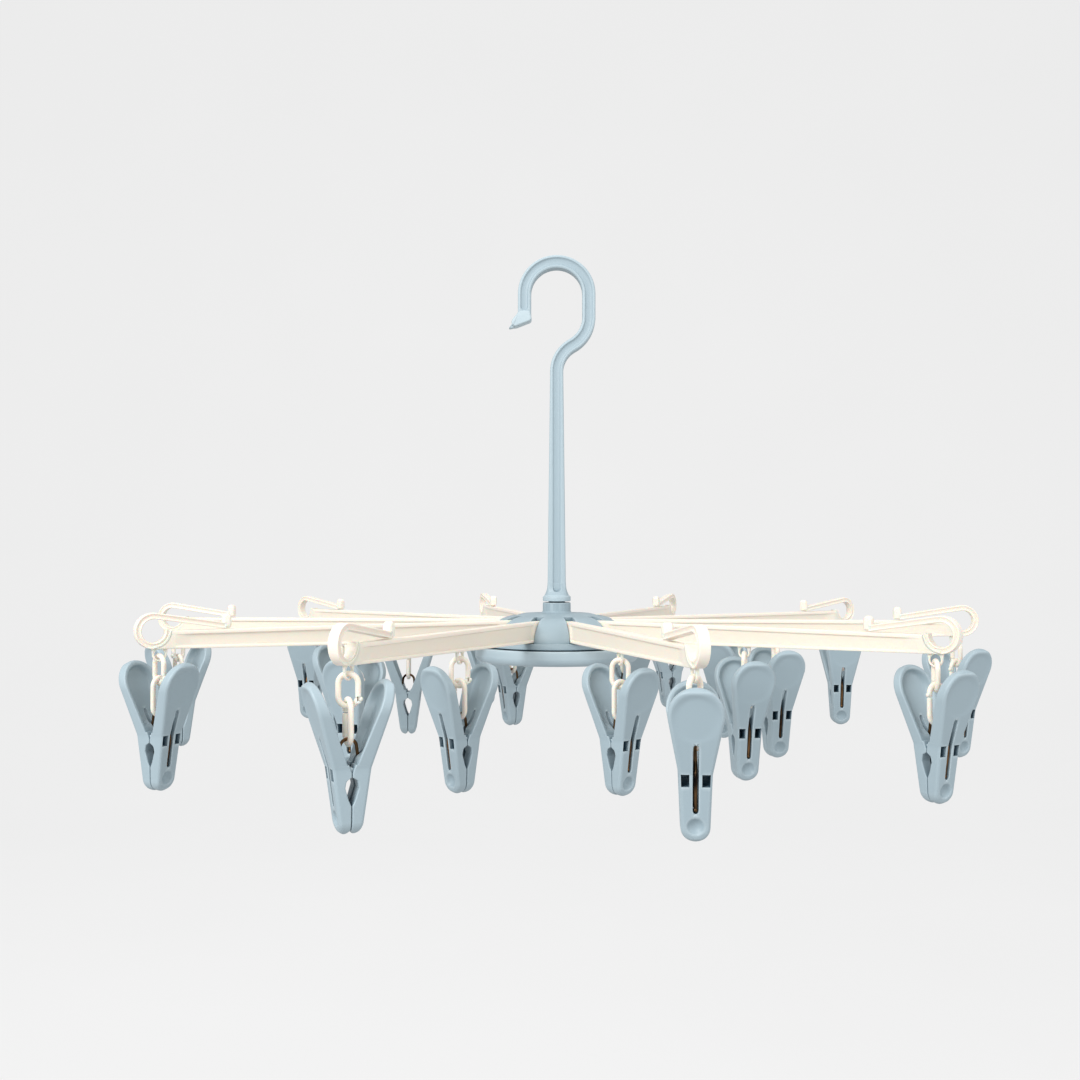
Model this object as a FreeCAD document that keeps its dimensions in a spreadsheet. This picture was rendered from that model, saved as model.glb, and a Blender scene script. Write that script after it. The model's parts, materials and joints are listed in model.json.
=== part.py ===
import FreeCAD, Part
import math
import os

# A hanging, folding peg dryer: a hook and mast carry a swivelling hub with ten radial arms that fold up
# like a parasol, and every arm carries two sprung pegs on short chains of two plastic links.
# Frame: millimetres, +Z up along the mast, origin at the centre of the hook's rail seat, hook in XZ.
# Most shapes are drawn about the arm plane (the level of the arms' top edges) and dropped into place.

Vector = FreeCAD.Vector
Rotation = FreeCAD.Rotation
Placement = FreeCAD.Placement

DIMENSIONS = [
    ("drop", 238.0, "rail seat centre down to the arm plane"),
    ("seat_radius", 18.8, "inner radius of the hook, a laundry rail's room"),
    ("strap", 9.6, "hook strap seen from the front"),
    ("strap_depth", 10.4, "hook strap from front to back"),
    ("leg_down", 14.0, "hook's free leg below the seat centre"),
    ("hook_stretch", 17.0, "straight run between the hook's upper and lower arcs"),
    ("neck_radius", 22.0, "bend that brings the hook back over the mast"),
    ("stem_base", 13.4, "mast width above the flare"),
    ("flute", 5.6, "width of the groove down the mast and round the hook"),
    ("flute_face", 4.1, "mast centre to the bottom of the groove"),
    ("collar_radius", 10.2, "swivel collar"),
    ("collar_low", 13.0, "underside of the mast's collar above the arm plane"),
    ("spigot_radius", 6.0, "pivot spigot at the foot of the mast"),
    ("swivel_gap", 0.05, "radial clearance of a turning fit"),
    ("air", 0.3, "clearance between parts that pass each other"),
    ("dome_radius", 50.5, "hub dome where it meets its flange"),
    ("dome_top", 4.6, "dome crown above the arm plane"),
    ("shoulder_radius", 19.5, "round of the dome's shoulder"),
    ("shoulder_low", -17.0, "centre of that round from the arm plane"),
    ("flange_radius", 53.5, "hub flange"),
    ("flange_top", -14.9, "top of the hub flange"),
    ("flange_low", -19.4, "underside of the hub flange"),
    ("disc_radius", 59.5, "hub base disc"),
    ("disc_thick", 10.6, "hub base disc, rim height"),
    ("shell", 2.4, "wall of the hub mouldings"),
    ("boss_circle", 18.5, "radius of the circle of the three base screws"),
    ("boss", 4.2, "radius of a screw boss"),
    ("screw_core", 1.3, "radius of the pilot hole in a screw boss"),
    ("screw_shank", 1.25, "radius of a base screw"),
    ("screw_hole", 1.7, "radius of a base screw's clearance hole"),
    ("screw_head", 3.0, "radius of a base screw's countersunk head"),
    ("base_gap", 0.6, "seam between the flange and the base disc"),
    ("washer", 9.0, "radius of the washer under the spigot"),
    ("washer_thick", 1.2, "thickness of that washer"),
    ("mast_screw", 1.45, "radius of the mast screw"),
    ("mast_head", 3.4, "radius of the mast screw's head"),
    ("slot_in", 30.5, "inner end of an arm slot"),
    ("slot_wide", 6.8, "width of an arm slot"),
    ("cheek", 2.0, "cheek beside an arm slot"),
    ("arm_count", 10.0, "number of arms"),
    ("arm_phase", -22.0, "azimuth of the first arm from the front, degrees"),
    ("pivot_radius", 39.0, "arm pivot from the mast axis"),
    ("pivot_low", -7.0, "arm pivot from the arm plane"),
    ("trunnion", 2.0, "radius of the arm's trunnion pins"),
    ("trunnion_long", 10.6, "length over the trunnion pins"),
    ("arm_reach", 289.0, "centre of the end loop from the mast axis"),
    ("arm_wide", 6.0, "width of the arm's flanges and loop"),
    ("arm_web", 2.6, "thickness of the arm's web"),
    ("arm_high", 14.6, "arm height at the hub"),
    ("loop_out", 11.0, "outer radius of the end loop"),
    ("loop_in", 7.2, "inner radius of the end loop"),
    ("tongue_tilt", 9.0, "slope of the sprung tongue, degrees"),
    ("tongue_end", 246.5, "radius where the tongue's tip turns up"),
    ("tongue_stub", 5.2, "width of the tongue's upturned tip"),
    ("tongue_top", 9.6, "top of that tip above the arm plane"),
    ("flange_thin", 1.7, "thickness of the arm's lower flange"),
    ("flange_deep", 2.4, "thickness of the arm's upper flange"),
    ("arm_groove", 1.8, "width of the groove along the arm's top"),
    ("eye_outer", 285.0, "radius of the outer eyelet"),
    ("eye_inner", 158.0, "radius of the inner eyelet"),
    ("eye_hole", 3.2, "eyelet hole radius"),
    ("eye_wall", 1.2, "eyelet wall"),
    ("eye_thick", 1.6, "eyelet thickness"),
    ("eye_drop", 3.4, "eyelet centre below the arm's lower edge"),
    ("link_wire", 1.55, "radius of a link's round section"),
    ("link_bend", 5.1, "radius of a link's end bends"),
    ("upper_link", 16.7, "upper link between its bends' centrelines"),
    ("lower_link", 22.7, "lower link between its bends' centrelines"),
    ("link_gap", 0.4, "air where one link rests in the next"),
    ("eye_gap", 0.9, "air where the upper link rests in its eyelet"),
    ("peg_top", 44.0, "lever top above the peg's fulcrum level"),
    ("peg_tip", 34.0, "jaw tip below the peg's fulcrum level"),
    ("pad_radius", 14.0, "round finger pad of a lever"),
    ("waist", 8.4, "half width at the fulcrum"),
    ("tip_half", 7.4, "half width at the jaw tips"),
    ("seam", 0.15, "half the seam between the two jaws"),
    ("fulcrum", -1.5, "height of the fulcrum axis in the peg"),
    ("knuckle", 2.0, "radius of a fulcrum knuckle"),
    ("knuckle_wide", 3.4, "width of a fulcrum knuckle"),
    ("knuckle_off", 5.2, "knuckle from the middle of the jaw"),
    ("window_wide", 4.1, "width of a square window"),
    ("window_high", 6.2, "height of a square window"),
    ("window_low", -6.0, "bottom of a square window"),
    ("dimple", 4.9, "radius of the ball that hollows the jaw's outside"),
    ("dimple_level", -26.4, "height of that hollow"),
    ("wire", 0.9, "radius of the spring wire"),
    ("arch_top", 14.2, "crown of the spring's arch in the peg"),
    ("arch_bend", 4.5, "radius of the spring's arch"),
    ("slot_peg", 3.5, "width of the spring slot in a jaw"),
    ("slot_low", -19.5, "lower end of that slot"),
    ("slot_high", 34.8, "length of that slot"),
    ("link_nub", 1.35, "radius of the nub at a link's snap joint"),
]

# Turn of each peg about its chain: 0 puts the levers across the arm, 90 would put them along it.
PEG_TURNS = [
    (48, 64), (72, -62), (70, 52), (34, 20), (-32, -58),
    (40, -25), (-66, 16), (28, -48), (-40, 62), (33, -50),
]

doc = FreeCAD.newDocument("peg_dryer")
sheet = doc.addObject("Spreadsheet::Sheet", "Dims")
for row, (alias, value, note) in enumerate(DIMENSIONS, start=1):
    sheet.set("A%d" % row, note)
    sheet.set("B%d" % row, "%g" % value)
    sheet.setAlias("B%d" % row, alias)
doc.recompute()
dim = {alias: float(sheet.get(alias)) for alias, value, note in DIMENSIONS}


# ---- small builders ------------------------------------------------------------------------------

def bind(obj, **expressions):
    """Bind properties to the sheet; a double underscore in a name stands for a dot."""
    for name, expression in expressions.items():
        obj.setExpression(name.replace("__", "."), expression)
    return obj


def part(kind, name, base=(0, 0, 0), axis=(0, 0, 1), turn=0.0, **expressions):
    """A Part primitive at a base point, turned about an axis."""
    obj = doc.addObject("Part::" + kind, name)
    obj.Placement = Placement(Vector(*base), Rotation(Vector(*axis), turn))
    return bind(obj, **expressions)


def boolean(kind, name, *pieces):
    """Part::MultiFuse or Part::MultiCommon of several pieces, or Part::Cut of a base by one tool."""
    obj = doc.addObject("Part::" + kind, name)
    if kind == "Cut":
        obj.Base, obj.Tool = pieces
    else:
        obj.Shapes = list(pieces)
    return obj


def fuse(name, *pieces):
    return boolean("MultiFuse", name, *pieces)


def cut(name, base, *tools):
    tool = tools[0] if len(tools) == 1 else fuse(name + "_tools", *tools)
    return boolean("Cut", name, base, tool)


def line(a, b):
    return Part.LineSegment(Vector(a[0], a[1], 0), Vector(b[0], b[1], 0))


def arc(centre, radius, start, end):
    """An arc counter-clockwise from one angle to another, in degrees."""
    circle = Part.Circle(Vector(centre[0], centre[1], 0), Vector(0, 0, 1), radius)
    return Part.ArcOfCircle(circle, math.radians(start), math.radians(end))


def polar(centre, radius, angle):
    turn = math.radians(angle)
    return (centre[0] + radius * math.cos(turn), centre[1] + radius * math.sin(turn))


def polygon(*points):
    return [line(a, b) for a, b in zip(points, points[1:] + points[:1])]


def sketched_body(name, plane, outlines):
    """A PartDesign body with one sketch on one of its own origin planes."""
    body = doc.addObject("PartDesign::Body", name)
    sketch = body.newObject("Sketcher::SketchObject", name + "_sketch")
    face = [item for item in body.Origin.OriginFeatures if item.Role == plane][0]
    sketch.AttachmentSupport = [(face, "")]
    sketch.MapMode = "FlatFace"
    sketch.addGeometry(outlines, False)
    doc.recompute()
    return body, sketch


def pad(name, plane, outlines, thick, **expressions):
    """A sketch padded equally to both sides of its plane."""
    body, sketch = sketched_body(name, plane, outlines)
    feature = body.newObject("PartDesign::Pad", name + "_pad")
    feature.Profile = sketch
    feature.SideType = "Symmetric"
    feature.setExpression("Length", thick)
    sketch.Visibility = False
    return bind(body, **expressions)


def revolve(name, outlines, **expressions):
    """A sketch on the XZ plane turned round the Z axis."""
    body, sketch = sketched_body(name, "XZ_Plane", outlines)
    feature = body.newObject("PartDesign::Revolution", name + "_turn")
    feature.Profile = sketch
    feature.ReferenceAxis = (sketch, ["V_Axis"])
    feature.Angle = 360.0
    sketch.Visibility = False
    return bind(body, **expressions)


def radial(count, phase):
    return [phase + index * 360.0 / count for index in range(count)]


# ---- hook and mast -------------------------------------------------------------------------------

def strap_outline(half, low, low_half, leg):
    """Front outline of a band along the hook's centreline, with a straight tapered run at its foot."""
    middle = dim["seat_radius"] + dim["strap"] / 2
    seat = (0.0, dim["drop"])
    below = (0.0, dim["drop"] - dim["hook_stretch"])
    neck = dim["neck_radius"]
    swing = math.degrees(math.acos(neck / (neck + middle)))
    bend = (neck, below[1] - (neck + middle) * math.sin(math.radians(swing)))
    inner, outer = middle - half, middle + half
    far, near = neck + half, neck - half
    return [
        line((-low_half, low), (-half, bend[1])),
        arc(bend, far, 180 - swing, 180),
        arc(below, inner, -swing, 0),
        line((inner, below[1]), (inner, seat[1])),
        arc(seat, inner, 0, 180),
        line((-inner, seat[1]), (-inner, leg)),
        line((-inner, leg), (-outer, leg)),
        line((-outer, leg), (-outer, seat[1])),
        arc(seat, outer, 0, 180),
        line((outer, seat[1]), (outer, below[1])),
        arc(below, outer, -swing, 0),
        arc(bend, near, 180 - swing, 180),
        line((half, bend[1]), (low_half, low)),
        line((low_half, low), (-low_half, low)),
    ]


def spigot_low():
    """Foot of the mast's spigot, just inside the hub's underside."""
    return dim["flange_low"] + 1.4


def build_hook_mast():
    collar = dim["collar_low"]
    flare_top = collar + 10.0
    leg = dim["drop"] - dim["leg_down"]
    outer = dim["seat_radius"] + dim["strap"]
    band = pad(
        "strap_band", "XZ_Plane",
        strap_outline(dim["strap"] / 2, collar + 5.0, dim["stem_base"] / 2, leg), "Dims.strap_depth",
    )
    inside_foot = -dim["seat_radius"]
    foot_outline = polygon(
        (-outer, leg + 0.5),
        (inside_foot, leg + 0.5),
        (inside_foot + 0.6, leg - 5.6),
        (-outer - 2.8, leg - 10.6),
        (-outer - 5.0, leg - 8.2),
        (-outer - 4.2, leg - 4.8),
    )
    nub_outline = polygon(
        (-outer - 3.4, leg - 6.0),
        (-outer - 1.0, leg - 10.2),
        (-outer - 7.2, leg - 11.4),
    )
    foot = pad("hook_foot", "XZ_Plane", foot_outline, "Dims.strap_depth")
    nub = pad("hook_nub", "XZ_Plane", nub_outline, "Dims.strap_depth * 0.45")
    groove = strap_outline(dim["flute"] / 2, flare_top + 5.0, dim["flute"] / 2, leg + 1.0)
    flutes = []
    for side, shift in (("front", "-"), ("back", "")):
        flutes.append(pad(
            "flute_" + side, "XZ_Plane", groove, "Dims.strap_depth",
            Placement__Base__y=shift + "(Dims.flute_face + Dims.strap_depth / 2)",
        ))
        flutes.append(part(
            "Cylinder", "flute_foot_" + side, (0, 0, flare_top + 5.0), (1, 0, 0), 90,
            Radius="Dims.flute / 2", Height="Dims.strap_depth",
            Placement__Base__y="Dims.strap_depth + Dims.flute_face" if side == "back" else "-Dims.flute_face",
        ))
    ring = dim["collar_radius"]
    stem = dim["stem_base"] / 2
    spigot = dim["spigot_radius"]
    foot_low = spigot_low()
    flare = revolve("mast_foot", polygon(
        (0, foot_low),
        (spigot, foot_low),
        (spigot, collar),
        (ring - 0.5, collar),
        (ring, collar + 0.5),
        (ring, collar + 3.4),
        (ring - 0.5, collar + 3.9),
        (ring - 1.0, collar + 4.2),
        (stem + 0.9, flare_top - 1.4),
        (stem - 1.2, flare_top + 4.0),
        (0, flare_top + 4.0),
    ))
    bore = part(
        "Cylinder", "mast_screw_core", (0, 0, foot_low - 1),
        Radius="Dims.mast_screw + Dims.swivel_gap", Height="20",
    )
    whole = fuse("hook_whole", band, foot, nub, flare)
    return cut("hook_mast", whole, bore, *flutes)


def build_mast_fixings():
    """The washer and screw under the mast's spigot that keep the hub on the swivel."""
    seat = spigot_low()
    under = seat - dim["washer_thick"]
    head_high = 2.2
    disc = part(
        "Cylinder", "washer_disc", (0, 0, under), Radius="Dims.washer", Height="Dims.washer_thick",
    )
    eye = part("Cylinder", "washer_eye", (0, 0, under - 1), Radius="Dims.mast_screw + Dims.air", Height="4")
    washer = cut("mast_washer", disc, eye)
    shank = part("Cylinder", "screw_shank", (0, 0, under), Radius="Dims.mast_screw", Height="16")
    head = part(
        "Cylinder", "screw_head", (0, 0, under - head_high), Radius="Dims.mast_head", Height="%g" % head_high,
    )
    blade_long, blade_wide = 4.0, 0.9
    cross = []
    for index, (long, wide) in enumerate(((blade_long, blade_wide), (blade_wide, blade_long))):
        cross.append(part(
            "Box", "screw_cross_%d" % index, (-long / 2, -wide / 2, under - head_high - 0.5),
            Length="%g" % long, Width="%g" % wide, Height="1.6",
        ))
    return washer, cut("mast_screw", fuse("screw_blank", shank, head), *cross)


# ---- hub -----------------------------------------------------------------------------------------

def dome_outline(inset, low):
    """Half section of the domed hub, moved inwards by the wall for its inside."""
    top = dim["dome_top"] - inset
    bend = dim["shoulder_radius"] - inset
    shoulder = (dim["dome_radius"] - dim["shoulder_radius"], dim["shoulder_low"])
    crown = polar(shoulder, bend, 82.0)
    edge = polar(shoulder, bend, 0.0)
    return [
        line((0, low), (edge[0], low)),
        line((edge[0], low), edge),
        arc(shoulder, bend, 0.0, 82.0),
        line(crown, (0, top)),
        line((0, top), (0, low)),
    ]


def boss_spots():
    """Where the three base screws stand, each midway between two arms."""
    step = 360.0 / dim["arm_count"]
    angles = [dim["arm_phase"] - 90.0 + step * (index + 0.5) for index in (0, 3, 7)]
    return [polar((0, 0), dim["boss_circle"], angle) for angle in angles]


def build_hub():
    low = dim["flange_low"]
    solid = revolve("dome_solid", dome_outline(0.0, low))
    inside = revolve("dome_inside", dome_outline(dim["shell"], low - 1.0))
    flange = part(
        "Cylinder", "flange_ring", (0, 0, low),
        Radius="Dims.flange_radius", Height="Dims.flange_top - Dims.flange_low",
    )
    well = part("Cylinder", "flange_well", (0, 0, low - 1), Radius="Dims.dome_radius - 5", Height="8")
    collar = part(
        "Cylinder", "hub_collar", (0, 0, low), Radius="Dims.collar_radius",
        Height="Dims.collar_low - Dims.flange_low - 1",
    )
    tube = part(
        "Cylinder", "hub_bore", (0, 0, low - 1), Radius="Dims.spigot_radius + Dims.swivel_gap", Height="60",
    )
    recess = part(
        "Cylinder", "washer_room", (0, 0, low - 1), Radius="Dims.washer + 0.4",
        Height="1 + 1.4 + Dims.air",
    )
    cheeks, slots, seats = [], [], []
    angles = radial(int(dim["arm_count"]), dim["arm_phase"] - 90.0)
    half = dim["slot_wide"] / 2
    for index, angle in enumerate(angles, start=1):
        turn = Rotation(Vector(0, 0, 1), angle)
        block = part(
            "Box", "cheeks_%02d" % index,
            Length="Dims.dome_radius - Dims.slot_in + 6", Width="Dims.slot_wide + 2 * Dims.cheek",
            Height="Dims.dome_top - Dims.flange_low",
        )
        offset = Vector(dim["slot_in"] - 3.0, -half - dim["cheek"], low)
        block.Placement = Placement(turn.multVec(offset), turn)
        cheeks.append(block)
        slot = part(
            "Box", "slot_%02d" % index,
            Length="Dims.dome_radius - Dims.slot_in + 12", Width="Dims.slot_wide", Height="40",
        )
        slot.Placement = Placement(turn.multVec(Vector(dim["slot_in"], -half, dim["flange_top"])), turn)
        slots.append(slot)
        seat = part(
            "Cylinder", "pivot_seat_%02d" % index,
            Radius="Dims.trunnion + Dims.swivel_gap", Height="Dims.trunnion_long + 0.6",
        )
        reach = Vector(dim["pivot_radius"], (dim["trunnion_long"] + 0.6) / 2, dim["pivot_low"])
        seat.Placement = Placement(turn.multVec(reach), turn.multiply(Rotation(Vector(1, 0, 0), 90)))
        seats.append(seat)
    bosses, cores = [], []
    for index, (x, y) in enumerate(boss_spots()):
        bosses.append(part(
            "Cylinder", "boss_%d" % index, (x, y, low),
            Radius="Dims.boss", Height="Dims.dome_top - Dims.flange_low - 3",
        ))
        cores.append(part(
            "Cylinder", "boss_core_%d" % index, (x, y, low - 1), Radius="Dims.screw_core", Height="14",
        ))
    shell = cut("dome_shell", fuse("dome_and_flange", solid, flange), inside, well)
    ribs = boolean("MultiCommon", "dome_ribs", solid, fuse("rib_blocks", *(cheeks + bosses)))
    blank = fuse("hub_blank", shell, ribs, collar)
    return cut("hub_dome", blank, tube, recess, *(slots + seats + cores))


def build_hub_base():
    """The round tray that closes the hub from below, held by three countersunk screws."""
    top = dim["flange_low"] - dim["base_gap"]
    edge = dim["disc_radius"]
    low = top - dim["disc_thick"]
    curve = 5.0
    wall = dim["shell"]
    tray = revolve("base_solid", [
        line((0, low), (edge - curve - 2.0, low)),
        line((edge - curve - 2.0, low), polar((edge - curve, low + curve), curve, -60)),
        arc((edge - curve, low + curve), curve, -60, 0),
        line((edge, low + curve), (edge - 0.6, top - 0.6)),
        line((edge - 0.6, top - 0.6), (edge - 1.2, top)),
        line((edge - 1.2, top), (0, top)),
        line((0, top), (0, low)),
    ])
    room = part("Cylinder", "base_room", (0, 0, low + wall), Radius="Dims.disc_radius - 10", Height="30")
    land = part("Cylinder", "base_land", (0, 0, low), Radius="Dims.spigot_radius + 6", Height="3.4")
    access = part("Cylinder", "base_access", (0, 0, low - 1), Radius="4.4", Height="20")
    posts, holes = [], []
    for index, (x, y) in enumerate(boss_spots()):
        posts.append(part(
            "Cylinder", "base_post_%d" % index, (x, y, low),
            Radius="Dims.boss", Height="Dims.disc_thick + Dims.base_gap",
        ))
        holes.append(part(
            "Cylinder", "base_hole_%d" % index, (x, y, low - 1), Radius="Dims.screw_hole", Height="30",
        ))
        holes.append(part(
            "Cone", "base_sink_%d" % index, (x, y, low - 0.01),
            Radius1="Dims.screw_head + Dims.air", Radius2="Dims.screw_hole", Height="1.7",
        ))
    bowl = cut("base_bowl", tray, room)
    return cut("hub_base", fuse("base_blank", bowl, land, *posts), access, *holes)


def build_base_screws():
    low = dim["flange_low"] - dim["base_gap"] - dim["disc_thick"]
    screws = []
    for index, (x, y) in enumerate(boss_spots()):
        head = part(
            "Cone", "base_screw_head_%d" % index, (x, y, low + 0.3),
            Radius1="Dims.screw_head", Radius2="Dims.screw_shank + 0.15", Height="1.6",
        )
        shank = part(
            "Cylinder", "base_screw_shank_%d" % index, (x, y, low + 1.8),
            Radius="Dims.screw_shank", Height="Dims.disc_thick + 8",
        )
        drive = part(
            "Box", "base_screw_slot_%d" % index, (x - 2, y - 0.4, low - 0.5),
            Length="4", Width="0.8", Height="1.5",
        )
        blank = fuse("base_screw_blank_%d" % index, head, shank)
        screws.append(cut("base_screw_%d" % index, blank, drive))
    group = doc.addObject("Part::Compound", "base_screws")
    group.Links = screws
    return group


# ---- arm -----------------------------------------------------------------------------------------

def arm_low(radius):
    """Lower edge of the arm: it tapers from the hub to the underside of the end loop."""
    share = (radius - dim["pivot_radius"]) / (dim["arm_reach"] - dim["pivot_radius"])
    return -dim["arm_high"] + share * (dim["arm_high"] - dim["loop_out"])


def build_arm():
    """One arm along +X: an I-section beam, an end loop whose strap runs back as a sprung tongue with an
    upturned tip, two eyelets under the beam and two trunnion pins."""
    hub_end = dim["pivot_radius"] - 6.0
    tip = (dim["arm_reach"], 0.0)
    tilt = math.radians(dim["tongue_tilt"])
    top = 90 + dim["tongue_tilt"]
    over = polar(tip, dim["loop_out"], top)
    under = polar(tip, dim["loop_in"], top)
    end = dim["tongue_end"]
    over_end = (end, over[1] - (over[0] - end) * math.tan(tilt))
    under_end = (end, under[1] - (under[0] - end) * math.tan(tilt))
    stub = dim["tongue_stub"]
    stub_centre = dim["tongue_top"] - stub / 2
    corner = polar(tip, dim["loop_in"], 180)
    beam = [
        line((hub_end, -2.0), (hub_end, arm_low(hub_end) + 4.0)),
        line((hub_end, arm_low(hub_end) + 4.0), (hub_end + 5.0, arm_low(hub_end))),
        line((hub_end + 5.0, arm_low(hub_end)), (tip[0], -dim["loop_out"])),
        arc(tip, dim["loop_out"], -90, top),
        line(over, over_end),
        line(over_end, (end, stub_centre)),
        arc((end - stub / 2, stub_centre), stub / 2, 0, 180),
        line((end - stub, stub_centre), (end - stub, 1.2)),
        line((end - stub, 1.2), (end - stub + 0.7, under_end[1])),
        line((end - stub + 0.7, under_end[1]), under_end),
        line(under_end, under),
        arc(tip, dim["loop_in"], -180, top),
        line(corner, (hub_end + 2.0, 0.0)),
        line((hub_end + 2.0, 0.0), (hub_end, -2.0)),
    ]
    blank = pad("arm_outline", "XZ_Plane", beam, "Dims.arm_wide")
    web_end = tip[0] - dim["loop_out"] - 1.0
    web_start = hub_end + 3.0
    lower, upper = dim["flange_thin"], -dim["flange_deep"]
    recess = polygon(
        (web_start, upper),
        (web_start, arm_low(web_start) + lower),
        (web_end, arm_low(web_end) + lower),
        (web_end, upper),
    )
    sides = []
    for side, sign in (("left", ""), ("right", "-")):
        sides.append(pad(
            "arm_side_" + side, "XZ_Plane", recess, "4",
            Placement__Base__y=sign + "(Dims.arm_web / 2 + 2)",
        ))
    ridge = part(
        "Box", "arm_top_groove", (hub_end + 8.0, -dim["arm_groove"] / 2, -0.7),
        Length="Dims.arm_reach - 70", Width="Dims.arm_groove", Height="3",
    )
    eyes, eye_holes = [], []
    for name, radius in (("outer", dim["eye_outer"]), ("inner", dim["eye_inner"])):
        level = arm_low(radius) - dim["eye_drop"]
        half = dim["eye_thick"] / 2
        root = dim["eye_hole"] + dim["eye_wall"]
        eyes.append(part(
            "Cylinder", "eye_" + name, (radius, half, level), (1, 0, 0), 90,
            Radius="Dims.eye_hole + Dims.eye_wall", Height="Dims.eye_thick",
        ))
        eyes.append(part(
            "Box", "eye_root_" + name, (radius - root, -half, level),
            Length="2 * (Dims.eye_hole + Dims.eye_wall)", Width="Dims.eye_thick", Height="Dims.eye_drop + 1.2",
        ))
        eye_holes.append(part(
            "Cylinder", "eye_hole_" + name, (radius, 4, level), (1, 0, 0), 90, Radius="Dims.eye_hole", Height="8",
        ))
    pins = part(
        "Cylinder", "trunnions", (dim["pivot_radius"], dim["trunnion_long"] / 2, dim["pivot_low"]),
        (1, 0, 0), 90, Radius="Dims.trunnion", Height="Dims.trunnion_long",
    )
    barrel = part(
        "Cylinder", "trunnion_barrel", (dim["pivot_radius"], dim["arm_wide"] / 2, dim["pivot_low"]),
        (1, 0, 0), 90, Radius="4", Height="Dims.arm_wide",
    )
    body = cut("arm_body", blank, ridge, *sides)
    return cut("arm_pattern", fuse("arm_blank", body, pins, barrel, *eyes), *eye_holes)


# ---- peg: in its own frame, Z up, levers spread along X, fulcrum level at zero ---------------------

def lever_side(sign):
    """Side view of one jaw: straight seam, half a teardrop for thick cloth, and the spread lever."""
    seam = dim["seam"]
    top = dim["peg_top"]
    tip = -dim["peg_tip"]
    gripping_edge = [(seam, tip + 2.4), (seam, -19.0)]
    teardrop = [(1.6, -16.0), (3.5, -9.6), (2.9, -6.2), (seam, -4.2), (seam, -2.2)]
    crotch = [(1.7, 2.0), (2.6, 2.0), (17.6, top - 2.0)]
    lever_top = [(18.8, top), (21.8, top), (23.0, top - 2.4)]
    back_edge = [(10.4, 0.0), (6.4, tip + 5.0), (5.4, tip + 1.4), (3.6, tip), (1.6, tip)]
    points = gripping_edge + teardrop + crotch + lever_top + back_edge
    return polygon(*[(sign * x, z) for x, z in points])


def dish_side(sign):
    """Side view of the hollow on the inside of a lever, from the crotch to just under the top."""
    points = [(3.4, 6.0), (16.6, 41.2), (20.6, 40.6), (18.6, 33.0), (10.4, 12.0), (6.8, 6.0)]
    return polygon(*[(sign * x, z) for x, z in points])


def lever_front(inset=0.0):
    """Front view of a jaw: round finger pad, tapering sides and a rounded tip."""
    pad_radius, tip = dim["pad_radius"] - inset, dim["tip_half"] - inset
    pad_level = dim["peg_top"] - dim["pad_radius"]
    tip_level = -dim["peg_tip"] + dim["tip_half"]
    waist = dim["waist"] - inset
    rise = 14.0
    knee = polar((0, pad_level), pad_radius, -rise)
    return [
        arc((0, pad_level), pad_radius, -rise, 180 + rise),
        line((-knee[0], knee[1]), (-waist, 0)),
        line((-waist, 0), (-tip, tip_level)),
        arc((0, tip_level), tip, 180, 360),
        line((tip, tip_level), (waist, 0)),
        line((waist, 0), knee),
    ]


def build_jaw(name, sign):
    """A jaw on the side of X given by sign; the two are one moulding turned half round."""
    side = pad(name + "_side", "XZ_Plane", lever_side(sign), "Dims.pad_radius * 2 + 4")
    front = pad(name + "_front", "YZ_Plane", lever_front(), "60")
    blank = boolean("MultiCommon", name + "_blank", side, front)
    slot = part(
        "Box", name + "_slot", (-30, -dim["slot_peg"] / 2, dim["slot_low"]),
        Length="60", Width="Dims.slot_peg", Height="Dims.slot_high",
    )
    dimple = part("Sphere", name + "_dimple", (sign * 9.6, 0, dim["dimple_level"]), Radius="Dims.dimple")
    dish = boolean(
        "MultiCommon", name + "_dish", pad(name + "_dish_side", "XZ_Plane", dish_side(sign), "40"),
        pad(name + "_dish_front", "YZ_Plane", lever_front(2.2), "60"),
    )
    here, there = sign * dim["knuckle_off"], -sign * dim["knuckle_off"]
    knuckle_half, window_half = dim["knuckle_wide"] / 2, dim["window_wide"] / 2
    level, radius = dim["fulcrum"], dim["knuckle"]
    knuckle = part(
        "Cylinder", name + "_knuckle", (0, here + knuckle_half, level), (1, 0, 0), 90,
        Radius="Dims.knuckle", Height="Dims.knuckle_wide",
    )
    root_long = 3.0
    root = part(
        "Box", name + "_knuckle_root", (min(0.0, sign * root_long), here - knuckle_half, level - radius + 0.4),
        Length="%g" % root_long, Width="Dims.knuckle_wide", Height="2 * Dims.knuckle - 0.8",
    )
    socket = part(
        "Cylinder", name + "_socket", (0, there + window_half, level), (1, 0, 0), 90,
        Radius="Dims.knuckle + Dims.swivel_gap", Height="Dims.window_wide",
    )
    window_long = 12.0
    windows = []
    for label, spot, depth in (("socket", there, 2.4), ("knuckle", here, 4.4)):
        start = depth if sign > 0 else -depth - window_long
        windows.append(part(
            "Box", "%s_%s_window" % (name, label), (start, spot - window_half, dim["window_low"]),
            Length="%g" % window_long, Width="Dims.window_wide", Height="Dims.window_high",
        ))
    hollow = cut(name + "_hollow", blank, slot, dimple, dish, socket, *windows)
    return fuse(name, hollow, knuckle, root)


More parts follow.
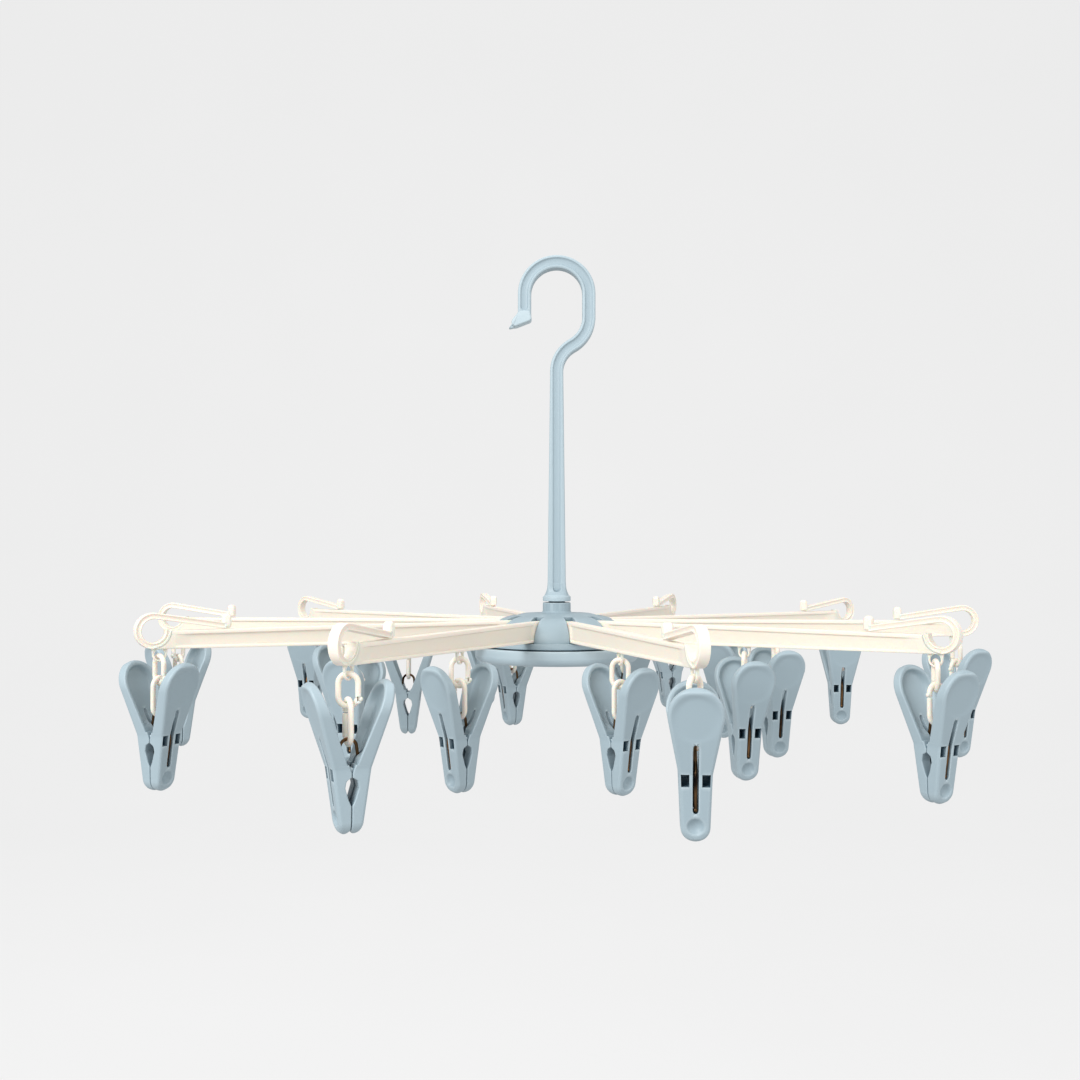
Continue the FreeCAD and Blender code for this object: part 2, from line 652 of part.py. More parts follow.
def build_spring():
    """The bent wire: an arch over the crotch that the chain hangs on, and a leg down each jaw's slot."""
    rise = dim["arch_top"] - dim["arch_bend"]
    bend = dim["arch_bend"]
    side = [(bend, rise), (bend + 0.6, 6.2), (7.6, 1.2), (8.4, -3.2), (6.6, -10.5), (5.4, -15.0)]
    right = [Vector(x, 0, z) for x, z in side]
    left = [Vector(-x, 0, z) for x, z in reversed(side)]
    crown = Part.Arc(Vector(-bend, 0, rise), Vector(0, 0, dim["arch_top"]), Vector(bend, 0, rise)).toShape()
    curves = []
    for points, start, end in ((left, None, Vector(0, 0, 1)), (right, Vector(0, 0, -1), None)):
        curve = Part.BSplineCurve()
        if start:
            curve.interpolate(Points=points, InitialTangent=start, FinalTangent=Vector(-0.2, 0, -1))
        else:
            curve.interpolate(Points=points, InitialTangent=Vector(0.2, 0, 1), FinalTangent=end)
        curves.append(curve.toShape())
    path = Part.Wire([curves[0], crown, curves[1]])
    section = Part.Wire(Part.makeCircle(dim["wire"], left[0], Vector(0.2, 0, 1)))
    obj = doc.addObject("Part::Feature", "spring_pattern")
    obj.Shape = path.makePipeShell([section], True, True)
    return obj


def build_link(name, length, nub):
    """A plastic C-link hanging from the origin in the YZ plane: two bends, two straight sides, and the
    snap joint with its nub on one side."""
    bend, wire = dim["link_bend"], dim["link_wire"]
    run = length - 2 * bend
    top = part("Torus", name + "_top", (0, 0, -bend), (1, 1, 1), 120, Radius1="Dims.link_bend",
               Radius2="Dims.link_wire", Angle3="180")
    low = part("Torus", name + "_low", Radius1="Dims.link_bend", Radius2="Dims.link_wire", Angle3="180")
    upside_down = Rotation(Vector(1, 0, 0), 180).multiply(Rotation(Vector(1, 1, 1), 120))
    low.Placement = Placement(Vector(0, 0, -bend - run), upside_down)
    sides = [
        part("Cylinder", name + "_side_%d" % index, (0, spot, -bend - run), Radius="Dims.link_wire",
             Height="%g" % run)
        for index, spot in enumerate((bend, -bend))
    ]
    bump = part("Sphere", name + "_nub", (0, bend + wire * 0.75, nub), Radius="Dims.link_nub")
    joint = part("Box", name + "_joint", (-4, 0.5, nub - 1.6), Length="8", Width="9", Height="0.5")
    return cut(name, fuse(name + "_blank", top, low, bump, *sides), joint)


# ---- placing ---------------------------------------------------------------------------------------

def placed(pattern, label, placement):
    """A copy of a pattern that stays bound to it, as a sub-part of its own."""
    obj = doc.addObject("Part::Compound", label)
    obj.Links = [pattern]
    obj.Placement = placement
    return obj


def turned(pattern, lift, angle):
    shape = pattern.Shape.copy()
    shape.Placement = Placement(Vector(0, 0, lift), Rotation(Vector(0, 0, 1), angle)).multiply(shape.Placement)
    return shape


DOWN = Vector(0, 0, -dim["drop"])
parts = []

for made in (build_hook_mast(), *build_mast_fixings(), build_hub(), build_hub_base(), build_base_screws()):
    made.Placement = Placement(DOWN, Rotation()).multiply(made.Placement)
    made.setExpression("Placement.Base.z", "-Dims.drop")
    made.Label = made.Name
    parts.append(made)

arm = build_arm()
fixed_jaw = build_jaw("jaw_fixed", -1)
lever_jaw = build_jaw("jaw_lever", 1)
spring = build_spring()
upper = build_link("upper_link_pattern", dim["upper_link"], -dim["upper_link"] + 3.6)
lower = build_link("lower_link_pattern", dim["lower_link"], -6.0)
doc.recompute()

wire, gap = dim["link_wire"], dim["link_gap"]
eye_rest = dim["eye_drop"] + dim["eye_hole"] - wire - dim["eye_gap"]
lower_hang = -dim["upper_link"] + 2 * wire + gap
arch_hang = lower_hang - dim["lower_link"] + wire + dim["wire"] + 0.1
peg_hang = arch_hang - dim["arch_top"]

peg_number = 0
for number, azimuth in enumerate(radial(int(dim["arm_count"]), dim["arm_phase"]), start=1):
    outward = Rotation(Vector(0, 0, 1), azimuth - 90.0)
    parts.append(placed(arm, "arm_%02d" % number, Placement(DOWN, outward)))
    for radius, turn in zip((dim["eye_outer"], dim["eye_inner"]), PEG_TURNS[number - 1]):
        peg_number += 1
        pivot = outward.multVec(Vector(radius, 0, arm_low(radius) - eye_rest)) + DOWN
        hang = Placement(pivot, outward)
        across = turn + 90.0
        group = doc.addObject("Part::Feature", "peg_%02d" % peg_number)
        group.Shape = Part.makeCompound([
            turned(fixed_jaw, peg_hang, across),
            turned(spring, peg_hang, across),
            turned(upper, 0.0, turn / 2.0),
            turned(lower, lower_hang, across),
        ])
        group.Placement = hang
        parts.append(group)
        lever_turn = Placement(Vector(0, 0, peg_hang), Rotation(Vector(0, 0, 1), across))
        parts.append(placed(lever_jaw, "peg_%02d_lever" % peg_number, hang.multiply(lever_turn)))

doc.recompute()

for obj in doc.Objects:
    if "Invalid" in obj.State or "Error" in obj.State:
        raise RuntimeError("%s is not built: %s" % (obj.Name, obj.State))
for obj in parts:
    shape = obj.Shape
    if shape.isNull() or not shape.isValid() or not shape.Solids:
        raise RuntimeError("%s has no sound solid" % obj.Label)

os.makedirs("parts", exist_ok=True)
for obj in parts:
    obj.Shape.exportStep("parts/%s.step" % obj.Label)
    print(obj.Label, len(obj.Shape.Solids), "solids, %.2f cm3" % (obj.Shape.Volume / 1000.0))
print(len(parts), "sub-parts")
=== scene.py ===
# %% [markdown]
# # A hanging, folding peg dryer
# A hook and mast of pale blue plastic carry a swivelling hub. Ten cream arms fold up round the mast like the
# ribs of a parasol, and every arm carries two sprung pegs, each on a chain of two plastic links.
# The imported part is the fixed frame: its joints say where every arm and peg goes, and its few metal
# fixings and the base disc stay as they are. The rest is rebuilt here with the soft edges of moulded plastic.

import json
import math

import bmesh
import bpy
from mathutils import Matrix, Vector


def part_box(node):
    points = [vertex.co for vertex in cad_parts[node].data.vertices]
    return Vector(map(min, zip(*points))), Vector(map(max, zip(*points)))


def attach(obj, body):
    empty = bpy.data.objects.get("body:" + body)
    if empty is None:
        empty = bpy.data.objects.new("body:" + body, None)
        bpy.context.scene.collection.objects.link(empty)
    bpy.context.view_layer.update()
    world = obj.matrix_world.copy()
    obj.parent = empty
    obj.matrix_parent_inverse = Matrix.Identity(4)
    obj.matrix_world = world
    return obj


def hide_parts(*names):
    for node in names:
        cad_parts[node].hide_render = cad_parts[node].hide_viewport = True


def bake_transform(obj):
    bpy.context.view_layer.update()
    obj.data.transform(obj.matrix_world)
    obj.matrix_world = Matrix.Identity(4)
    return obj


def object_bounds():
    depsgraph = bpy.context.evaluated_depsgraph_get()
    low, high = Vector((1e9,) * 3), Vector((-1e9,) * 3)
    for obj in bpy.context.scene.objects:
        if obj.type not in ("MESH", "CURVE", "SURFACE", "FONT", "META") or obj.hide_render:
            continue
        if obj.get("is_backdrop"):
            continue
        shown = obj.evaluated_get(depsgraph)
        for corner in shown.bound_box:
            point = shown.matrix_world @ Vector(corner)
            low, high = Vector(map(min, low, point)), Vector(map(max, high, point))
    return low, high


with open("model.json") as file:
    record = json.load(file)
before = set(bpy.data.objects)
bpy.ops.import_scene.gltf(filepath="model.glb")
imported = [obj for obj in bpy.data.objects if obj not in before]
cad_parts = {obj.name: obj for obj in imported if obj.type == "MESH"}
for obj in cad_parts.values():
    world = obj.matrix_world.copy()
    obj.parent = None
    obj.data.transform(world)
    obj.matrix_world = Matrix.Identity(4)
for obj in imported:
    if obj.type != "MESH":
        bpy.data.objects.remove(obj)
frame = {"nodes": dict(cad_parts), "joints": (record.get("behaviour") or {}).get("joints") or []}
cad_low, cad_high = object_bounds()

MM = 0.001
joints = {joint["name"]: joint for joint in frame["joints"]}

# %% [markdown]
# ## Where things are
# Shapes are drawn in millimetres about the arm plane, the level of the arms' top edges. The frame gives that
# plane: an arm's highest point is the top of its end loop. Reading positions from the frame, and not typing
# them in, keeps every piece on the part that it stands for.

# %% The arm plane, the arms and the pegs
LOOP_OUT = 11.0
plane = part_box("arm_01")[1].z - LOOP_OUT * MM
to_plane = Matrix.Translation((0, 0, plane)) @ Matrix.Scale(MM, 4)

UP = Vector((0, 0, 1))
PIVOT_RADIUS = 39.0


def facing(across, place):
    """The frame at a place whose X axis points along across, with Z up."""
    across = across.normalized()
    turn = Matrix((across, UP.cross(across), UP)).transposed().to_4x4()
    return Matrix.Translation(place) @ turn


def joint_place(name):
    return Vector(joints[name]["pos_m"])


arm_count = len([name for name in joints if name.startswith("arm_")])
peg_count = len([name for name in joints if name.endswith("_swing")])
outward = []
for number in range(1, arm_count + 1):
    pivot = joint_place("arm_%02d_fold" % number)
    outward.append(Vector((pivot.x, pivot.y, 0)).normalized())
print(arm_count, "arms and", peg_count, "pegs; the arm plane is at z =", round(plane, 4))

# %% [markdown]
# ## Lights, floor and camera first
# The dryer hangs in a bright studio. A wide sweep of pale paper stands for floor and wall, so no edge shows
# behind the object, and large area lights keep the shadows soft. The camera stands at the level just above the
# arms, so the ring of arms is seen almost edge on.

# %% The camera
CAMERA_AWAY = 0.877
CAMERA_OVER_PLANE = 0.0427
LOOK_UP, LOOK_LEFT = 0.98, 0.8
LENS = 39.9
scene = bpy.context.scene
camera = bpy.data.objects.new("camera", bpy.data.cameras.new("camera"))
camera.data.sensor_width = 36.0
camera.data.lens = LENS
camera.location = (0, -CAMERA_AWAY, plane + CAMERA_OVER_PLANE)
camera.rotation_euler = (math.radians(90 + LOOK_UP), 0, math.radians(LOOK_LEFT))
scene.collection.objects.link(camera)
scene.camera = camera
scene.view_settings.view_transform = "Standard"
print("camera at", [round(value, 3) for value in camera.location])

# %% The paper sweep
SWEEP_WIDE = 6.0
SWEEP_BACK = 2.6
SWEEP_FRONT = -3.4
SWEEP_ROUND = 1.0
SWEEP_HIGH = 3.2
FLOOR_BELOW = 0.42


def sweep_profile():
    """Floor, a quarter round, and the wall, as (y, z) pairs above the floor."""
    points = [(SWEEP_FRONT, 0.0)]
    for step in range(13):
        turn = math.radians(-90 + 90 * step / 12)
        points.append((
            SWEEP_BACK - SWEEP_ROUND + SWEEP_ROUND * math.cos(turn),
            SWEEP_ROUND + SWEEP_ROUND * math.sin(turn),
        ))
    points.append((SWEEP_BACK, SWEEP_HIGH))
    return points


def paper_sweep():
    mesh = bpy.data.meshes.new("paper_sweep")
    points, faces = [], []
    floor = cad_low.z - FLOOR_BELOW
    for y, z in sweep_profile():
        points += [(-SWEEP_WIDE / 2, y, floor + z), (SWEEP_WIDE / 2, y, floor + z)]
    for row in range(len(points) // 2 - 1):
        faces.append((2 * row, 2 * row + 1, 2 * row + 3, 2 * row + 2))
    mesh.from_pydata(points, [], faces)
    mesh.shade_smooth()
    obj = bpy.data.objects.new("paper_sweep", mesh)
    scene.collection.objects.link(obj)
    obj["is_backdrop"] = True
    return obj


sweep = paper_sweep()
print("paper sweep", FLOOR_BELOW, "m under the pegs")

# %% The lights
def ranged(nodes, links, source, low, high, new_low, new_high):
    """The source's values from low to high, stretched to run from new_low to new_high."""
    node = nodes.new("ShaderNodeMapRange")
    links.new(source, node.inputs["Value"])
    for name, value in (("From Min", low), ("From Max", high), ("To Min", new_low), ("To Max", new_high)):
        node.inputs[name].default_value = value
    return node.outputs["Result"]


def area_light(name, place, target, size, watts):
    """A white square light that faces the target."""
    light = bpy.data.lights.new(name, "AREA")
    light.shape = "SQUARE"
    light.size = size
    light.energy = watts
    obj = bpy.data.objects.new(name, light)
    obj.location = place
    obj.rotation_euler = (Vector(target) - Vector(place)).to_track_quat("-Z", "Y").to_euler()
    scene.collection.objects.link(obj)


middle = (0, 0, plane - 0.02)
area_light("key_light", (-1.0, -1.5, plane + 0.95), middle, 1.0, 34)
area_light("fill_light", (1.6, -1.1, plane + 0.5), middle, 1.4, 12)
area_light("top_light", (0.1, 0.1, plane + 1.5), middle, 1.8, 10)
world = bpy.data.worlds.new("studio_air")
scene.world = world
world.use_nodes = True
air = world.node_tree.nodes["Background"]
air.inputs["Color"].default_value = (1, 1, 1, 1)


def seen_and_lit(tree, target, seen, lit):
    """A brightness for what is looked at directly, and a dimmer one for the light that it gives."""
    path = tree.nodes.new("ShaderNodeLightPath").outputs["Is Camera Ray"]
    tree.links.new(ranged(tree.nodes, tree.links, path, 0.0, 1.0, lit, seen), target)


seen_and_lit(world.node_tree, air.inputs["Strength"], 0.86, 0.6)
print("three area lights and an even white surround")

# %% [markdown]
# ## A skin for moulded plastic
# All the plastic here is injection moulded: an even colour that drifts a little where the melt cooled, a fine
# satin texture from the steel mould, and edges painted a touch lighter: partly wear on the thin rims, partly a
# painted highlight where they catch the light.
# A node group holds those three effects, so that the blue and the cream plastic share them with values of
# their own. Working in each object's own coordinates keeps the texture fixed to the piece when it moves.
# Slots and windows only a few millimetres wide are nearly black on the real thing. Soft studio light alone
# leaves them too pale, so each blue material gets painted shade wherever its surface sees little open space.

# %% The node group
def socket(group, name, kind, way="INPUT", value=None):
    made = group.interface.new_socket(name=name, in_out=way, socket_type=kind)
    if value is not None:
        made.default_value = value
    return made


def mixed(nodes, links, kind, factor, first, second):
    """A colour Mix node; first and second are sockets."""
    node = nodes.new("ShaderNodeMix")
    node.data_type = "RGBA"
    node.blend_type = kind
    links.new(factor, node.inputs["Factor"])
    links.new(first, node.inputs[6])
    links.new(second, node.inputs[7])
    return node.outputs[2]


def noise(nodes, links, place, scale, detail):
    node = nodes.new("ShaderNodeTexNoise")
    node.inputs["Scale"].default_value = scale
    node.inputs["Detail"].default_value = detail
    links.new(place, node.inputs["Vector"])
    return node.outputs["Fac"]


def build_skin():
    group = bpy.data.node_groups.new("moulded_skin", "ShaderNodeTree")
    for name in ("Body", "Drift", "Rub_And_Highlight"):
        socket(group, name, "NodeSocketColor", value=(0.8, 0.8, 0.8, 1))
    socket(group, "Rub_And_Highlight_Share", "NodeSocketFloat", value=0.35)
    socket(group, "Shine", "NodeSocketFloat", value=0.4)
    socket(group, "Color", "NodeSocketColor", "OUTPUT")
    socket(group, "Roughness", "NodeSocketFloat", "OUTPUT")
    socket(group, "Height", "NodeSocketFloat", "OUTPUT")
    nodes, links = group.nodes, group.links
    given = nodes.new("NodeGroupInput")
    result = nodes.new("NodeGroupOutput")
    place = nodes.new("ShaderNodeTexCoord").outputs["Object"]
    drift = ranged(nodes, links, noise(nodes, links, place, 55.0, 2.0), 0.35, 0.65, 0.0, 1.0)
    flow = ranged(nodes, links, noise(nodes, links, place, 260.0, 3.0), 0.3, 0.7, 0.0, 1.0)
    colour = mixed(nodes, links, "MIX", drift, given.outputs["Body"], given.outputs["Drift"])
    # Edges painted lighter: partly rubbed wear, partly a painted highlight where the rims catch the light.
    edge = nodes.new("ShaderNodeNewGeometry").outputs["Pointiness"]
    worn_and_lit_edge = ranged(nodes, links, edge, 0.505, 0.58, 0.0, 1.0)
    rub_and_highlight = nodes.new("ShaderNodeMath")
    rub_and_highlight.operation = "MULTIPLY"
    links.new(worn_and_lit_edge, rub_and_highlight.inputs[0])
    links.new(given.outputs["Rub_And_Highlight_Share"], rub_and_highlight.inputs[1])
    colour = mixed(nodes, links, "MIX", rub_and_highlight.outputs[0], colour, given.outputs["Rub_And_Highlight"])
    links.new(colour, result.inputs["Color"])
    sheen = nodes.new("ShaderNodeMath")
    sheen.operation = "MULTIPLY_ADD"
    links.new(flow, sheen.inputs[0])
    sheen.inputs[1].default_value = 0.07
    links.new(given.outputs["Shine"], sheen.inputs[2])
    links.new(sheen.outputs[0], result.inputs["Roughness"])
    grain = noise(nodes, links, place, 4200.0, 2.0)
    links.new(grain, result.inputs["Height"])
    return group


moulded_skin = build_skin()
print("node group", moulded_skin.name, "with", len(moulded_skin.nodes), "nodes")

# %% The four plastic materials: one blue, two copies of it painted darker as shade, and the cream
def srgb(red, green, blue):
    """A linear colour from 0-255 sRGB values."""
    def linear(value):
        value /= 255
        return value / 12.92 if value <= 0.04045 else ((value + 0.055) / 1.055) ** 2.4
    return (linear(red), linear(green), linear(blue), 1.0)


NARROW = 0.007
# The colour of the painted shade in narrow slots and windows.
PAINTED_SHADE_BLUE = srgb(52, 88, 107)
GRAIN_DEEP = 0.00005


def plastic(name, body, drift, rub_and_highlight, shine, rub_and_highlight_share, grain, shade=None):
    """Moulded plastic. With a shade colour, its narrow openings get painted shade, since little light gets in
    there.
    """
    material = bpy.data.materials.new(name)
    material.use_nodes = True
    nodes, links = material.node_tree.nodes, material.node_tree.links
    shader = nodes["Principled BSDF"]
    skin = nodes.new("ShaderNodeGroup")
    skin.node_tree = moulded_skin
    for label, value in (("Body", body), ("Drift", drift), ("Rub_And_Highlight", rub_and_highlight), ("Shine", shine), ("Rub_And_Highlight_Share", rub_and_highlight_share)):
        skin.inputs[label].default_value = value
    bump = nodes.new("ShaderNodeBump")
    bump.inputs["Strength"].default_value = grain
    bump.inputs["Distance"].default_value = GRAIN_DEEP
    colour = skin.outputs["Color"]
    # Painted shade: where the surface sees little open space, the colour is mixed towards the shade colour.
    if shade:
        open_space = nodes.new("ShaderNodeAmbientOcclusion")
        open_space.samples = 6
        open_space.inputs["Distance"].default_value = NARROW
        openness = ranged(nodes, links, open_space.outputs["AO"], 0.1, 0.62, 0.0, 1.0)
        dark = nodes.new("ShaderNodeRGB")
        dark.outputs["Color"].default_value = shade
        colour = mixed(nodes, links, "MIX", openness, dark.outputs["Color"], colour)
    links.new(colour, shader.inputs["Base Color"])
    links.new(skin.outputs["Roughness"], shader.inputs["Roughness"])
    links.new(skin.outputs["Height"], bump.inputs["Height"])
    links.new(bump.outputs["Normal"], shader.inputs["Normal"])
    return material


blue_plastic = plastic(
    "blue_plastic", srgb(159, 176, 184), srgb(154, 172, 181), srgb(196, 211, 217), 0.42, 0.6, 0.35, PAINTED_SHADE_BLUE,
)
# The dome is the mast's blue plastic, painted darker here as painted shade.
shaded_dome_plastic = plastic(
    "shaded_dome_plastic", srgb(147, 164, 172), srgb(143, 161, 169), srgb(186, 201, 208), 0.46, 0.6, 0.35, PAINTED_SHADE_BLUE,
)
# The pegs are the mast's blue plastic too, painted a little darker as painted shade under the arms.
peg_plastic = plastic(
    "peg_plastic", srgb(155, 172, 180), srgb(150, 168, 177), srgb(198, 213, 219), 0.42, 0.6, 0.35, PAINTED_SHADE_BLUE,
)
cream_plastic = plastic(
    "cream_plastic", srgb(226, 219, 205), srgb(222, 214, 199), srgb(240, 235, 226), 0.30, 0.5, 0.25,
)
for material in (blue_plastic, shaded_dome_plastic, peg_plastic, cream_plastic):
    material.node_tree.nodes["Principled BSDF"].inputs["Specular IOR Level"].default_value = 0.45
# Light gets some way into the thin cream walls, and a faint painted glow (the emission) lifts their shaded
# sides, so they are never dark.
cream_shader = cream_plastic.node_tree.nodes["Principled BSDF"]
cream_shader.inputs["Subsurface Weight"].default_value = 0.3
cream_shader.inputs["Subsurface Scale"].default_value = 0.004
cream_shader.inputs["Emission Color"].default_value = srgb(248, 240, 224)
cream_shader.inputs["Emission Strength"].default_value = 0.07
print("plastics:", blue_plastic.name, shaded_dome_plastic.name, peg_plastic.name, cream_plastic.name)

# %% [markdown]
# ## Wire and screws
# The peg springs are hard-drawn wire with a bronze-coloured finish, and they shine brass where the finish has
# rubbed. The screws are zinc plated. Both are full metals; a stretched noise stands for the drawing lines.

# %% The metals
def metal(name, dark, bright, roughness, stretch):
    """Full metal between two colours, in streaks that the stretch draws out along an axis."""
    material = bpy.data.materials.new(name)
    material.use_nodes = True
    nodes, links = material.node_tree.nodes, material.node_tree.links
    shader = nodes["Principled BSDF"]
    shader.inputs["Metallic"].default_value = 1.0
    place = nodes.new("ShaderNodeMapping")
    links.new(nodes.new("ShaderNodeTexCoord").outputs["Object"], place.inputs["Vector"])
    place.inputs["Scale"].default_value = stretch
    ramp = nodes.new("ShaderNodeValToRGB")
    ramp.color_ramp.elements[0].position, ramp.color_ramp.elements[0].color = 0.35, dark
    ramp.color_ramp.elements[1].position, ramp.color_ramp.elements[1].color = 0.72, bright
    streaks = noise(nodes, links, place.outputs["Vector"], 240.0, 4.0)
    links.new(streaks, ramp.inputs["Fac"])
    links.new(ramp.outputs["Color"], shader.inputs["Base Color"])
    links.new(ranged(nodes, links, streaks, 0.3, 0.7, roughness, roughness + 0.18), shader.inputs["Roughness"])
    bump = nodes.new("ShaderNodeBump")
    bump.inputs["Strength"].default_value = 0.3
    bump.inputs["Distance"].default_value = 0.00003
    links.new(streaks, bump.inputs["Height"])
    links.new(bump.outputs["Normal"], shader.inputs["Normal"])
    return material


spring_wire = metal("spring_wire", srgb(30, 25, 23), srgb(138, 104, 70), 0.24, (1, 1, 0.25))
zinc_steel = metal("zinc_steel", srgb(150, 140, 110), srgb(205, 196, 160), 0.3, (1, 1, 1))
print("metals:", spring_wire.name, "and", zinc_steel.name)

# %% Pale paper for the sweep
def paper():
    material = bpy.data.materials.new("studio_paper")
    material.use_nodes = True
    nodes, links = material.node_tree.nodes, material.node_tree.links
    shader = nodes["Principled BSDF"]
    shader.inputs["Roughness"].default_value = 0.9
    shader.inputs["Specular IOR Level"].default_value = 0.1
    ramp = nodes.new("ShaderNodeValToRGB")
    ramp.color_ramp.elements[0].color = srgb(106, 106, 106)
    ramp.color_ramp.elements[1].color = srgb(112, 112, 112)
    shader.inputs["Emission Color"].default_value = (1, 1, 1, 1)
    seen_and_lit(material.node_tree, shader.inputs["Emission Strength"], 0.72, 0.5)
    place = nodes.new("ShaderNodeTexCoord").outputs["Object"]
    links.new(noise(nodes, links, place, 3.0, 3.0), ramp.inputs["Fac"])
    links.new(ramp.outputs["Color"], shader.inputs["Base Color"])
    return material


sweep.data.materials.append(paper())

# %% [markdown]
# ## Tools for making meshes
# Three small makers do most of the work. A *skin over ribs* joins a row of closed outlines, like planks
# over the ribs of a boat. A *slab* is an outline with thickness and softened rims. A *lathe* turns a half
# outline round an axis. Softened corners are part of the outlines, because moulded edges are never sharp and
# it is their narrow highlights that make plastic look real.

# %% The makers
def polar(centre, radius, angle):
    turn = math.radians(angle)
    return (centre[0] + radius * math.cos(turn), centre[1] + radius * math.sin(turn))


def arc(centre, radius, start, end, steps):
    """Points along an arc, both ends included."""
    return [polar(centre, radius, start + (end - start) * step / steps) for step in range(steps + 1)]


def softened(outline, size):
    """The closed outline with each corner cut back by size, or by less on a short side."""
    result = []
    for index, corner in enumerate(outline):
        here = Vector(corner)
        for other in (outline[index - 1], outline[(index + 1) % len(outline)]):
            side = Vector(other) - here
            reach = min(size, side.length * 0.4)
            result.append(tuple(here + side.normalized() * reach) if side.length > 1e-9 else tuple(here))
    return result


def skin_over(mesh, ribs, closed=False):
    """Quads between closed ribs of equal length; the end ribs are capped unless the row is closed."""
    rows = [[mesh.verts.new(point) for point in rib] for rib in ribs]
    pairs = list(zip(rows, rows[1:]))
    if closed:
        pairs.append((rows[-1], rows[0]))
    for low, high in pairs:
        for index in range(len(low)):
            after = (index + 1) % len(low)
            mesh.faces.new((low[index], low[after], high[after], high[index]))
    if not closed:
        mesh.faces.new(list(reversed(rows[0])))
        mesh.faces.new(rows[-1])


def inset(outline, distance):
    """The outline moved inwards; it runs counter-clockwise."""
    result = []
    for index, point in enumerate(outline):
        before = Vector(outline[index - 1])
        after = Vector(outline[(index + 1) % len(outline)])
        here = Vector(point)
        first, second = (here - before).normalized(), (after - here).normalized()
        normal = Vector((-first.y - second.y, first.x + second.x))
        length = max(normal.length, 0.6)
        result.append(tuple(here + normal.normalized() * distance * 2 / length))
    return result


def slab(mesh, outline, half, rim):
    """An XZ outline, counter-clockwise, with thickness along Y and softened rims."""
    small = inset(outline, rim)
    ribs = []
    for points, y in ((small, half), (outline, half - rim), (outline, rim - half), (small, -half)):
        ribs.append([(x, y, z) for x, z in points])
    skin_over(mesh, ribs)


def lathe(mesh, profile, steps, place=None):
    """A closed (radius, height) profile turned about Z, then moved to place."""
    place = place or Matrix.Identity(4)
    ribs = []
    for step in range(steps):
        turn = 2 * math.pi * step / steps
        ribs.append([
            place @ Vector((radius * math.cos(turn), radius * math.sin(turn), height))
            for radius, height in profile
        ])
    skin_over(mesh, ribs, closed=True)


def turning_y(x, z):
    """The place of a lathe axis along Y."""
    return Matrix.Translation((x, 0, z)) @ Matrix.Rotation(math.pi / 2, 4, "X")


def finished(mesh, name, sharp):
    """The bmesh as a smooth-shaded mesh, with hard shading only past the sharp angle."""
    bmesh.ops.remove_doubles(mesh, verts=mesh.verts, dist=1e-5)
    bmesh.ops.dissolve_degenerate(mesh, edges=mesh.edges, dist=1e-5)
    bmesh.ops.recalc_face_normals(mesh, faces=mesh.faces)
    data = bpy.data.meshes.new(name)
    mesh.to_mesh(data)
    mesh.free()
    data.shade_smooth()
    data.set_sharp_from_angle(angle=math.radians(sharp))
    return data


def piece(name, data, material, place):
    """An object with its finish, in place in the row frame."""
    if not data.materials:
        data.materials.append(material)
    obj = bpy.data.objects.new(name, data)
    scene.collection.objects.link(obj)
    obj.matrix_world = place
    weighted = obj.modifiers.new("even_shading", "WEIGHTED_NORMAL")
    weighted.keep_sharp = True
    return obj


# %% [markdown]
# ## The hook and mast
# One moulding: a strap of nearly square section goes up as the mast, swings over into the hook and ends in a
# small foot that keeps the hook on the rail. A groove runs up both faces and ends in a rounded pocket. A
# curve with a bevel could not change the groove along the way, so the strap is a skin over ribs that follow
# the same line as the part, and each rib draws its own groove.

# %% The line of the strap
SEAT_UP = 238.0
SEAT_RADIUS = 18.8
STRAP = 9.6
STRAP_DEPTH = 10.4
HOOK_STRETCH = 17.0
NECK = 22.0
LEG_DOWN = 14.0
COLLAR_LOW = 13.0
STEM_LOW = COLLAR_LOW + 5
STEM_BASE = 13.4
line_radius = SEAT_RADIUS + STRAP / 2
below_seat = SEAT_UP - HOOK_STRETCH
swing = math.degrees(math.acos(NECK / (NECK + line_radius)))
bend_level = below_seat - (NECK + line_radius) * math.sin(math.radians(swing))


def strap_line():
    """(x, z, heading) along the middle of the strap, from the foot of the mast to the free end."""
    line = [(0.0, STEM_LOW + (bend_level - STEM_LOW) * (step / 40), 90.0) for step in range(40)]
    for step in range(13):
        angle = 180 - swing * step / 12
        line.append((*polar((NECK, bend_level), NECK, angle), angle - 90))
    for step in range(1, 17):
        angle = -swing + swing * step / 16
        line.append((*polar((0, below_seat), line_radius, angle), angle + 90))
    for step in range(1, 5):
        line.append((line_radius, below_seat + HOOK_STRETCH * step / 5, 90.0))
    for step in range(41):
        angle = 180 * step / 40
        line.append((*polar((0, SEAT_UP), line_radius, angle), angle + 90))
    for step in range(1, 29):
        line.append((-line_radius, SEAT_UP - LEG_DOWN * step / 28, 270.0))
    return with_lengths(line)


def with_lengths(line):
    """The line with the length travelled so far added to each of its points."""
    result, travelled = [], 0.0
    for index, (x, z, heading) in enumerate(line):
        if index:
            travelled += math.hypot(x - line[index - 1][0], z - line[index - 1][1])
        result.append((x, z, heading, travelled))
    return result


# %% The ribs of the strap
GROOVE_HALF = 2.8
GROOVE_FACE = 4.1
GROOVE_END = COLLAR_LOW + 6.8
GROOVE_SHORT = 1.6
CORNER = 1.3
COVER = 0.03


